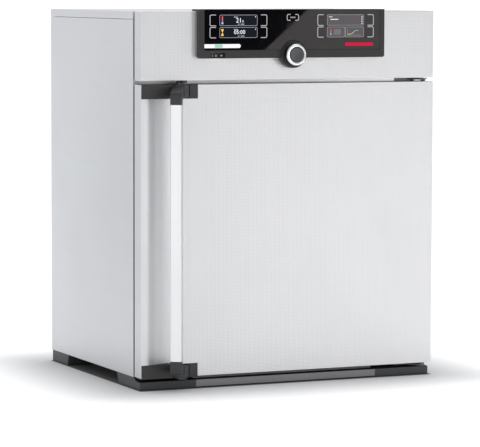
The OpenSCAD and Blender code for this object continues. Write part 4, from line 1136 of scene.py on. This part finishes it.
    def hourglass(self, x, z0, z1):
        """The two halves of an hourglass."""
        wide, neck, gap = 3.4 * MM, 0.5 * MM, 0.3 * MM
        middle = (z0 + z1) / 2
        halves = [[(x - wide, end), (x + wide, end), (x + neck, near), (x - neck, near)]
                  for end, near in ((z1, middle + gap), (z0, middle - gap))]
        return [plate(half, self.front, self.back) for half in halves]

    def right_screen(self, cockpit):
        """A list above, and a small read-out beside a trend line below."""
        half = cockpit.screen_width / 2
        x0, x1 = cockpit.screen_x - half - 2.4 * MM, cockpit.screen_x + half - 2.4 * MM
        upper, lower, inset = self.upper, self.lower, self.inset
        # Painted reflection: the fill is lifted to grey where the glass mirrors the studio, over the display's own
        # glow.
        self.screens(x0, x1, once("Right display", lit, cockpit.right_screen, 0.85), "right")
        split = x0 + 0.49 * (x1 - x0)
        lines = [self.frame_line(x0 + inset, x1 - inset, upper[0] + inset, upper[1] - inset),
                 self.frame_line(x0 + inset, split - inset / 2, lower[0] + inset, lower[1] - inset),
                 self.frame_line(split + inset / 2, x1 - inset, lower[0] + inset, lower[1] - inset)]
        axes = [(split + 6 * MM, lower[1] - 6 * MM), (split + 6 * MM, lower[0] + 5 * MM),
                (x1 - 7 * MM, lower[0] + 5 * MM)]
        lines.append(stroke(axes, self.hairline, self.front, self.back))
        for level in (0.32, 0.5, 0.68):
            z = lower[0] + level * (lower[1] - lower[0])
            lines.append(self.bar(x0 + 18 * MM, x0 + 36 * MM, z - 0.5 * MM, z + 0.5 * MM))
        printed(joined(lines), "right_display_lines", "Display grey line")
        marks = [self.bar(x0 + 5 * MM, x0 + 14 * MM, upper[1] - 6.2 * MM, upper[1] - 5.0 * MM),
                 self.bar(x0 + 9 * MM, x0 + 29 * MM, upper[1] - 12.2 * MM, upper[1] - 10.6 * MM)]
        for level in (6.0, 11.0, 16.0, 21.0):
            marks.append(self.dot(x1 - 5.2 * MM, upper[1] - level * MM, 1.3 * MM))
        printed(joined(marks), "right_display_marks", "Display white")
        self.trend_line(split + 7.5 * MM, lower[0] + 7.0 * MM)
        small, stem = x0 + 10 * MM, 0.9 * MM
        printed(self.bar(small - stem, small + stem, lower[0] + 9 * MM, lower[1] - 6 * MM),
                "small_thermometer", "Display red")
        printed(self.dot(small, lower[0] + 7.4 * MM, 1.8 * MM), "small_bulb", "Display blue")
        red_z = GLASS_LO.z + 8.2 * MM
        printed(plate(round_box(133 * MM, 205 * MM, red_z, red_z + 7.0 * MM, 2.0 * MM), self.front, self.back),
                "red_bar", "Red bar")

    def trend_line(self, x, z):
        """An S-shaped rise that changes colour on its way."""
        steps, change, width, rise, steepness = 14, 8, 27 * MM, 9.0 * MM, 0.75
        curve = [(x + width * i / steps, z + rise / (1 + math.exp(-steepness * (i - steps / 2))))
                 for i in range(steps + 1)]
        for points, end, ink in ((curve[:change + 1], "start", "Display yellow"),
                                 (curve[change:], "end", "Display teal")):
            printed(stroke(points, self.thick_line, self.front, self.back), f"trend_line_{end}", ink)


class INCUBATOR_OT_light_bar(PieceOperator):
    """Light bar at the left of the glass, with its green part"""

    bl_idname = "incubator.light_bar"
    bl_label = "Light bar"

    def build(self, scene):
        radius = (BAR_HI.z - BAR_LO.z) / 2
        middle = (BAR_HI.z + BAR_LO.z) / 2
        outline = [(BAR_LO.x, BAR_HI.z), (BAR_LO.x, BAR_LO.z)]
        outline += arc(BAR_HI.x - radius, middle, radius, -90, 90, 14)
        bar = piece_from(plate(outline, BAR_LO.y, BAR_HI.y), "light_bar",
                         once("Light bar", lit, (0.88, 0.90, 0.90), 0.88), "cabinet")
        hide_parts("energy_bar")
        x0, x1 = BAR_LO.x + 25 * MM, BAR_LO.x + 45 * MM
        z0, z1 = BAR_LO.z + 0.6 * MM, BAR_HI.z - 0.6 * MM
        green = plate([(x0, z0), (x1, z0), (x1, z1), (x0, z1)], BAR_LO.y - 0.05 * MM, BAR_LO.y + 0.2 * MM)
        lamp = once("Green light", lit, (0.36, 0.58, 0.48), 0.9)
        piece_from(green, "green_segment", lamp, "cabinet")


class INCUBATOR_OT_knob(PieceOperator):
    """Push-and-turn knob: ring, body, cap and stem"""

    bl_idname = "incubator.knob"
    bl_label = "Knob"

    def build(self, scene):
        outer = (RING_HI.x - RING_LO.x) / 2
        cap_radius = (CAP_HI.x - CAP_LO.x) / 2
        inner = cap_radius + 1.2 * MM
        front, crown, wall, depth = RING_LO.y, 3.4 * MM, 0.78 * MM, 5.5 * MM
        profile = [(inner, front + crown), (inner, front + 1.3 * MM), (inner + 0.5 * MM, front + 0.6 * MM)]
        for step in range(7):
            a = math.radians(15 * step)
            profile.append((outer - 3.6 * MM + 3.6 * MM * math.sin(a), front + crown - crown * math.cos(a)))
        profile += [(outer - 0.3 * MM, front + depth), (outer - wall, front + depth),
                    (outer - wall, front + crown)]
        ring = piece_from(lathed(profile, KNOB_X, KNOB_Z), "knob_bright_ring", chrome(), "knob",
                          sharp=35)
        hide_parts("knob_ring")
        finished_copy("knob_body", knob_plastic(), width=0.4 * MM)
        dish = [(0.0, CAP_LO.y + 0.55 * MM), (cap_radius * 0.5, CAP_LO.y + 0.4 * MM),
                (cap_radius * 0.85, CAP_LO.y + 0.1 * MM), (cap_radius * 0.95, CAP_LO.y),
                (cap_radius, CAP_LO.y + 0.15 * MM), (cap_radius, CAP_HI.y), (0.0, CAP_HI.y)]
        satin = once("Knob cap", sheet_steel, (0.095, 0.097, 0.10), 0.34, (1.0, 1.0, 1.0))
        cap = piece_from(lathed(dish, KNOB_X, KNOB_Z), "knob_dished_cap", satin, "knob", sharp=40)
        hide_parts("knob_cap")
        dress("encoder_stem", bright_steel())


class INCUBATOR_OT_notch(PieceOperator):
    """Main switch and data port in the notch, and the symbols on its back wall"""

    bl_idname = "incubator.notch"
    bl_label = "Switch notch"

    def build(self, scene):
        dress("switch_module", socket_plastic())
        finished_copy("power_rocker", socket_plastic(), width=0.3 * MM)
        boss_depth, notch_depth = 14 * MM, 2.5 * MM
        wall = BEZEL_LO.y + boss_depth + notch_depth
        depth = (wall - 0.15 * MM, wall + 0.2 * MM)
        x, z = SWITCH_LO.x + 3.6 * MM, SWITCH_LO.z - 6.4 * MM

        def line(points, width):
            return stroke([(x + px * MM, z + pz * MM) for px, pz in points], width * MM, *depth)

        ring = stroke(arc(x + 14 * MM, z, 2.1 * MM, 0, 360, 18)[:-1], 0.8 * MM, *depth, closed=True)
        upright = [(x + px * MM, z + pz * MM) for px, pz in ((4.6, -2.2), (5.6, -2.2), (5.6, 2.2), (4.6, 2.2))]
        port = line([(24, 0), (31, 0)], 0.9)
        prongs = [line([(26, 0), (28, 2 * side), (30, 2 * side)], 0.7) for side in (-1, 1)]
        printed(joined([ring, plate(upright, *depth), port, *prongs]), "notch_symbols", "Notch print")


class INCUBATOR_OT_handle(PieceOperator):
    """Swing handle: bar, levers with grooved drums and latch tongues"""

    bl_idname = "incubator.handle"
    bl_label = "Handle"

    def build(self, scene):
        finished_copy("handle_bar", handle_satin(), width=0.3 * MM)
        edge = scene.incubator_finish.plastic_break
        for node in ("upper_lever", "lower_lever"):
            lever = finished_copy(node, dark_plastic(), width=edge)
            self.groove(lever)
        finished_copy("latch_tongues", dark_steel(), width=0.4 * MM)

    def groove(self, lever):
        """Gives the round side of the drum its own material, with turned grooves and painted shade in them."""
        centre = (DRUM_LO + DRUM_HI) / 2
        radius = 19.6 * MM

        def on_drum(face):
            away = math.hypot(face.center.x - centre.x, face.center.y - centre.y)
            return abs(away - radius) < 0.25 * MM and abs(face.normal.z) < 0.2

        shade_faces(lever, once("Grooved plastic", grooved_plastic_painted_shade, finishes().drum), on_drum)


def grooved_plastic_painted_shade(name, tint):
    """Dark plastic with grooves around the drum's axis, painted darker down in the grooves as painted shade."""
    material, g, shader, place = start_material(name)
    axes = g.add("ShaderNodeSeparateXYZ")
    g.feed(axes.inputs[0], place)
    pitch = 5.2 * MM
    wave = g.math("SINE", g.math("MULTIPLY", axes.outputs[2], 2 * math.pi / pitch))
    groove = g.spread(wave, -0.85, -0.35, 0.0, 1.0)
    grain = grouped(g, moulded_grain(), Vector=place, Grain=0.0007)
    # Painted shade: the colour drops to a quarter of the tint down in each groove.
    g.feed(shader.inputs["Base Color"], g.mixed(groove, toned(tint, 0.25), toned(tint, 1.1)))
    g.feed(shader.inputs["Roughness"], g.spread(grain["Mask"], 0.0, 1.0, 0.38, 0.48))
    bumped(g, shader, groove, 0.0008, 0.9)
    return material


class INCUBATOR_OT_locks(PieceOperator):
    """Lock housings, axles, keepers and the door's hinges"""

    bl_idname = "incubator.locks"
    bl_label = "Locks and hinges"

    def build(self, scene):
        edge = scene.incubator_finish.plastic_break
        for node in ("upper_lock_housing", "lower_lock_housing"):
            finished_copy(node, dark_plastic(), width=edge * 0.7)
        finished_copy("latch_keepers", dark_steel(), width=0.4 * MM)
        finished_copy("hinge_brackets", dark_steel(), width=0.4 * MM)
        dress("lock_axles", dark_steel())
        dress("hinge_bushes", bronze())


class INCUBATOR_OT_feet(PieceOperator):
    """Feet, their pads and the strip between them"""

    bl_idname = "incubator.feet"
    bl_label = "Feet"

    def build(self, scene):
        edge = scene.incubator_finish.plastic_break
        finished_copy("rear_feet", foot_plastic(), width=edge * 0.6)
        front = finished_copy("front_feet", foot_plastic(), width=edge * 0.6)
        strip = finished_copy("plinth_strip", plinth_plastic(), width=0.35 * MM)
        # The upward faces of the front feet and the plinth strip, in the gap below the door, are painted near black:
        # painted shadow.
        gap_shadow = once("Recess black", moulded, (0.004, 0.004, 0.004), 0.8)
        for piece in (front, strip):
            shade_faces(piece, gap_shadow, lambda face: face.normal.z > 0.3)
        finished_copy("foot_pads", pad_rubber(), width=0.3 * MM)


class INCUBATOR_OT_rear(PieceOperator):
    """Rear panels, louvres, screws and connections"""

    bl_idname = "incubator.rear"
    bl_label = "Rear"
    head_radius: length("Screw head radius", "Radius of the rear screws' heads", 0.0038)
    head_height: length("Screw head height", "Height of the rear screws' heads", 0.0021)

    def build(self, scene):
        for node in ("rear_panel", "service_panel"):
            dress(node, zinc_sheet())
        self.screws()
        self.louvres()
        self.contacts()
        finished_copy("mains_inlet", socket_plastic(), width=0.3 * MM)
        dress("network_port", bright_steel())
        finished_copy("exhaust_spigot", dark_plastic(), width=0.6 * MM)
        plate_foil = once("Plate foil", sheet_steel, (0.74, 0.75, 0.76), 0.35, (0.1, 1.0, 1.0))
        finished_copy("rating_plate", plate_foil, width=0.2 * MM)

    def screws(self):
        """One screw head over each of the CAD screws."""
        centres = []
        corners = [v.co for v in frame["nodes"]["rear_panel_screws"].data.vertices]
        for group in self.clusters(corners, 20 * MM):
            centres.append([(min(c[i] for c in group) + max(c[i] for c in group)) / 2 for i in (0, 2)])
        seed = bpy.data.meshes.new("screw_places")
        seed.from_pydata([(x, REAR_FACE + self.head_height * 0.3, z) for x, z in centres], [], [])
        values = {"Head radius": self.head_radius, "Head height": self.head_height,
                  "Material": bright_steel()}
        heads = nodes_result(screw_tree(), values, "rear_screw_heads", seed)
        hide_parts("rear_panel_screws")

    def clusters(self, points, reach):
        """Groups of points that lie near each other."""
        groups = []
        for point in points:
            for group in groups:
                if math.hypot(point.x - group[0].x, point.z - group[0].z) < reach:
                    group.append(point)
                    break
            else:
                groups.append([point])
        return groups

    def louvres(self):
        """Seven slats that shield the slots of the air inlet."""
        window, first_slot = 20 * MM, 12.6 * MM
        low = PANEL_LO.z + window + first_slot
        values = {"Count": 7, "Start": (0.0, PANEL_HI.y + 0.4 * MM, low), "Step": (0.0, 0.0, 9 * MM),
                  "Width": 74 * MM, "Height": 3.4 * MM, "Depth": 0.8 * MM, "Material": zinc_sheet()}
        nodes_result(row_of("Louvre slats", slat_shape), values, "vent_slats")

    def contacts(self):
        """Eight contacts in the network port."""
        start = ((PORT_LO.x + PORT_HI.x) / 2 - 3.6 * MM, PORT_HI.y - 6 * MM, PORT_LO.z + 2.8 * MM)
        values = {"Count": 8, "Start": start, "Step": (1.02 * MM, 0.0, 0.0),
                  "Width": 0.4 * MM, "Height": 0.6 * MM, "Depth": 8 * MM,
                  "Material": once("Contact gold", polished, (0.80, 0.62, 0.25), 0.25)}
        nodes_result(row_of("Port contacts", contact_shape), values, "port_contacts")


CAMERA_PLACE = (-2.77635, -6.20317, 0.93094)
LIFTED_WORLD = 1.1    # strength of the world that the camera sees
CARD_Y = -3.0         # how far in front the glass's cards stand
CARD_LOW, CARD_HIGH = 0.58, 0.92
SIDE_LOW, SIDE_HIGH = -0.25, 0.75
DUSK_LOW, DUSK_HIGH = -0.02, 3.0

# Softboxes: place, aim, size and the setting that holds their power
SOFTBOXES = {
    "right_softbox": ((1.97, -2.95, 0.45), (0.25, -0.25, 0.4), (0.55, 1.1), "key"),
    "top_softbox": ((0.5, 0.2, 2.6), (0.0, -0.1, 0.4), (1.8, 1.6), "top"),
    "left_softbox": ((-3.2, -3.4, 0.8), (-0.3, -0.3, 0.4), (0.9, 1.8), "left"),
}


class INCUBATOR_OT_stage(PieceOperator):
    """Pale floor with a curved backdrop, soft studio light and the camera"""

    bl_idname = "incubator.stage"
    bl_label = "Stage"

    def build(self, scene):
        stage = scene.incubator_stage
        self.backdrop(stage)
        self.lights(scene, stage)
        self.camera(scene, stage)
        scene.view_settings.view_transform = "Standard"

    def backdrop(self, stage):
        half, front, back, radius, height = 9.0, -9.0, 3.2, 2.2, 7.0
        steps = stage.curve_steps
        bend = [(back + radius * math.sin(a), radius - radius * math.cos(a))
                for a in (math.pi / 2 * i / steps for i in range(steps + 1))]
        line = [(front, 0.0)] + bend + [(back + radius, height)]
        bm = bmesh.new()
        rows = [[bm.verts.new((x, y, z)) for y, z in line] for x in (-half, half)]
        for i in range(len(line) - 1):
            bm.faces.new((rows[0][i], rows[1][i], rows[1][i + 1], rows[0][i + 1]))
        mesh = bpy.data.meshes.new("studio_floor")
        bm.to_mesh(mesh)
        bm.free()
        finish_shading(mesh)
        material, g, shader, place = start_material("Pale floor")
        cloud = g.noise(place, 0.6, detail=2)
        shader.inputs["Roughness"].default_value = 0.9
        shader.inputs["Specular IOR Level"].default_value = 0.1
        seen = g.math("MULTIPLY", g.add("ShaderNodeLightPath").outputs["Is Camera Ray"], stage.whiter)
        glowing = g.math("MULTIPLY", g.math("ADD", seen, 1.0), stage.floor_glow)
        g.feed(shader.inputs["Emission Strength"], glowing)
        # Painted shadow: the floor turns dark beneath the cabinet, and its glow fades round the feet.
        under, glow = self.painted_shadow_masks(g, place)
        grey = {level: (level,) * 3 for level in (0.0, 0.16, 0.90, 0.92, 1.0)}
        # The glow's colour fades to black near the feet, a painted contact shadow.
        g.feed(shader.inputs["Emission Color"], g.mixed(glow, grey[0.0], grey[1.0]))
        pale = g.mixed(cloud, grey[0.90], grey[0.92])
        # Painted shadow: the floor's colour falls to 0.16 beneath the cabinet.
        g.feed(shader.inputs["Base Color"], g.mixed(under, grey[0.16], pale))
        clear, seen_from, surface = (g.add(kind) for kind in (
            "ShaderNodeBsdfTransparent", "ShaderNodeNewGeometry", "ShaderNodeMixShader"))
        g.feed(surface.inputs["Fac"], seen_from.outputs["Backfacing"])
        g.feed(surface.inputs[1], shader.outputs[0])
        g.feed(surface.inputs[2], clear.outputs[0])
        g.feed(material.node_tree.nodes["Material Output"].inputs["Surface"], surface.outputs[0])
        floor = bpy.data.objects.new("studio_floor", mesh)
        mesh.materials.append(material)
        bpy.context.scene.collection.objects.link(floor)

    def painted_shadow_masks(self, g, place):
        """Two masks of painted shadow on the floor: 0 under the cabinet and 1 outside, which darkens the floor's
        colour beneath it, and one that rises further out, which dims the floor's glow round the feet.
        """
        axes = g.add("ShaderNodeSeparateXYZ")
        g.feed(axes.inputs[0], place)
        middle_y = (PANEL_HI.y + HOUSING_LO.y) / 2
        half_y = (PANEL_HI.y - HOUSING_LO.y) / 2
        beyond = []
        for axis, centre, reach in ((0, 0.0, CAD_BOX[1].x), (1, middle_y, half_y)):
            away = g.math("SUBTRACT", g.math("ABSOLUTE", g.math("SUBTRACT", axes.outputs[axis], centre)), reach)
            beyond.append(g.math("MAXIMUM", away, 0.0))
        flat = g.math("SQRT", g.math("ADD", g.math("POWER", beyond[0], 2.0), g.math("POWER", beyond[1], 2.0)))
        masks = []
        for reach in (4 * MM, 270 * MM):
            mask = g.add("ShaderNodeMapRange", interpolation_type="SMOOTHSTEP")
            for index, item in enumerate((flat, 0.0, reach, 0.0, 1.0)):
                g.feed(mask.inputs[index], item)
            masks.append(mask.outputs[0])
        return masks

    def softbox(self, name, place, aim, size, power):
        data = bpy.data.lights.new(name, "AREA")
        data.shape = "RECTANGLE"
        data.size, data.size_y = size
        data.energy = power
        light = bpy.data.objects.new(name, data)
        light.location = place
        light.rotation_euler = (Vector(aim) - Vector(place)).to_track_quat("-Z", "Y").to_euler()
        light.visible_camera = False
        bpy.context.scene.collection.objects.link(light)

    def lights(self, scene, stage):
        world = bpy.data.worlds.new("Even light")
        world.use_nodes = True
        g = Graph(world.node_tree)
        background = world.node_tree.nodes["Background"]
        background.inputs["Color"].default_value = (0.97, 0.98, 1.0, 1.0)
        seen = g.add("ShaderNodeLightPath").outputs["Is Camera Ray"]
        g.feed(background.inputs["Strength"], g.spread(seen, 0.0, 1.0, stage.world, LIFTED_WORLD))
        scene.world = world
        for name, (place, aim, size, setting) in SOFTBOXES.items():
            self.softbox(name, place, aim, size, getattr(stage, setting))
        self.glass_cards(stage)
        self.side_cards(stage)

    def glass_cards(self, stage):
        """A dark and a warm card in front, which the cockpit glass mirrors with a slanting edge."""
        left, right, low_edge, high_edge = 0.75, 1.78, 1.02, 1.42
        for name, tint, strength, (x0, x1, x2, x3) in (
                ("dark_card", (0.0, 0.0, 0.0), 0.0, (left, low_edge, high_edge, left)),
                ("warm_card", (1.0, 0.93, 0.90), stage.warm, (low_edge, right, right, high_edge))):
            corners = [(x, CARD_Y, z) for x, z in ((x0, CARD_LOW), (x1, CARD_LOW), (x2, CARD_HIGH), (x3, CARD_HIGH))]
            self.card(name, corners, tint, strength)

    def side_cards(self, stage):
        """Cards that shade the left side, and ones at the right that shade the finger channel."""
        cool = (0.97, 0.985, 1.0)
        far, middle, near = (-1.25, 0.99), (-0.90, 1.15), (-0.45, 1.36)
        self.upright("dim_card", far, middle, SIDE_LOW, SIDE_HIGH, cool, stage.side * 0.35)
        self.upright("pale_card", middle, near, SIDE_LOW, SIDE_HIGH, cool, stage.side)
        for number, (start, end, strength) in enumerate(((43, 47, 0.35), (47, 50, 0.15), (50, 112, 0.0))):
            first, second = self.to_the_right(start), self.to_the_right(end)
            self.upright(f"dusk_card_{number}", first, second, DUSK_LOW, DUSK_HIGH, (0.96, 0.98, 1.0), strength)

    def to_the_right(self, angle):
        """A point that far round to the right from the front, as seen from the door's left side."""
        turn, reach = math.radians(angle), 2.9
        return -0.33 + reach * math.sin(turn), -0.27 - reach * math.cos(turn)

    def upright(self, name, first, second, low, high, tint, strength):
        """A standing card between two points of the floor."""
        corners = [(*first, low), (*second, low), (*second, high), (*first, high)]
        self.card(name, corners, tint, strength)

    def card(self, name, corners, tint, strength):
        """A glowing card that only shows as a reflection."""
        mesh = bpy.data.meshes.new(name)
        mesh.from_pydata(corners, [], [tuple(range(len(corners)))])
        mesh.materials.append(lit(name.replace("_", " ").capitalize(), tint, strength))
        piece = bpy.data.objects.new(name, mesh)
        bpy.context.scene.collection.objects.link(piece)
        piece.visible_camera = piece.visible_diffuse = piece.visible_shadow = False
        piece.visible_transmission = False

    def camera(self, scene, stage):
        a, e, roll = stage.azimuth, stage.elevation, stage.roll
        back = Vector((math.sin(a) * math.cos(e), -math.cos(a) * math.cos(e), math.sin(e)))
        right = Vector((math.cos(a), math.sin(a), 0.0))
        up = back.cross(right)
        turned_right = math.cos(roll) * right + math.sin(roll) * up
        turned_up = -math.sin(roll) * right + math.cos(roll) * up
        data = bpy.data.cameras.new("studio_camera")
        data.lens = stage.lens
        data.sensor_width = 36.0
        data.clip_end = 100.0
        camera = bpy.data.objects.new("studio_camera", data)
        turn = Matrix((turned_right, turned_up, back)).transposed().to_4x4()
        camera.matrix_world = Matrix.Translation(CAMERA_PLACE) @ turn
        scene.collection.objects.link(camera)
        scene.camera = camera


OPERATORS = (
    INCUBATOR_OT_casing, INCUBATOR_OT_front, INCUBATOR_OT_gasket, INCUBATOR_OT_chamber,
    INCUBATOR_OT_glass_door, INCUBATOR_OT_cockpit, INCUBATOR_OT_displays, INCUBATOR_OT_light_bar,
    INCUBATOR_OT_knob, INCUBATOR_OT_notch, INCUBATOR_OT_handle, INCUBATOR_OT_locks,
    INCUBATOR_OT_feet, INCUBATOR_OT_rear, INCUBATOR_OT_stage,
)


class INCUBATOR_PT_pieces(bpy.types.Panel):
    """Lists the operators of the incubator"""

    bl_idname = "INCUBATOR_PT_pieces"
    bl_label = "Laboratory Incubator"
    bl_space_type = "VIEW_3D"
    bl_region_type = "UI"
    bl_category = "Incubator"

    def draw(self, context):
        for settings in (context.scene.incubator_finish, context.scene.incubator_cockpit,
                         context.scene.incubator_stage):
            box = self.layout.box()
            for name in settings.__annotations__:
                box.prop(settings, name)
        for operator in OPERATORS:
            self.layout.operator(operator.bl_idname)


GROUPS = {"incubator_finish": IncubatorFinish, "incubator_cockpit": IncubatorCockpit,
          "incubator_stage": IncubatorStage}


def register():
    for group in GROUPS.values():
        bpy.utils.register_class(group)
    for operator in (*OPERATORS, INCUBATOR_PT_pieces):
        bpy.utils.register_class(operator)
    for name, group in GROUPS.items():
        setattr(bpy.types.Scene, name, PointerProperty(type=group))


def unregister():
    for name in GROUPS:
        delattr(bpy.types.Scene, name)
    for kind in (INCUBATOR_PT_pieces, *reversed(OPERATORS), *GROUPS.values()):
        bpy.utils.unregister_class(kind)


def main():
    register()
    for operator in OPERATORS:
        family, name = operator.bl_idname.split(".")
        getattr(getattr(bpy.ops, family), name)()


if __name__ == "__main__":
    main()
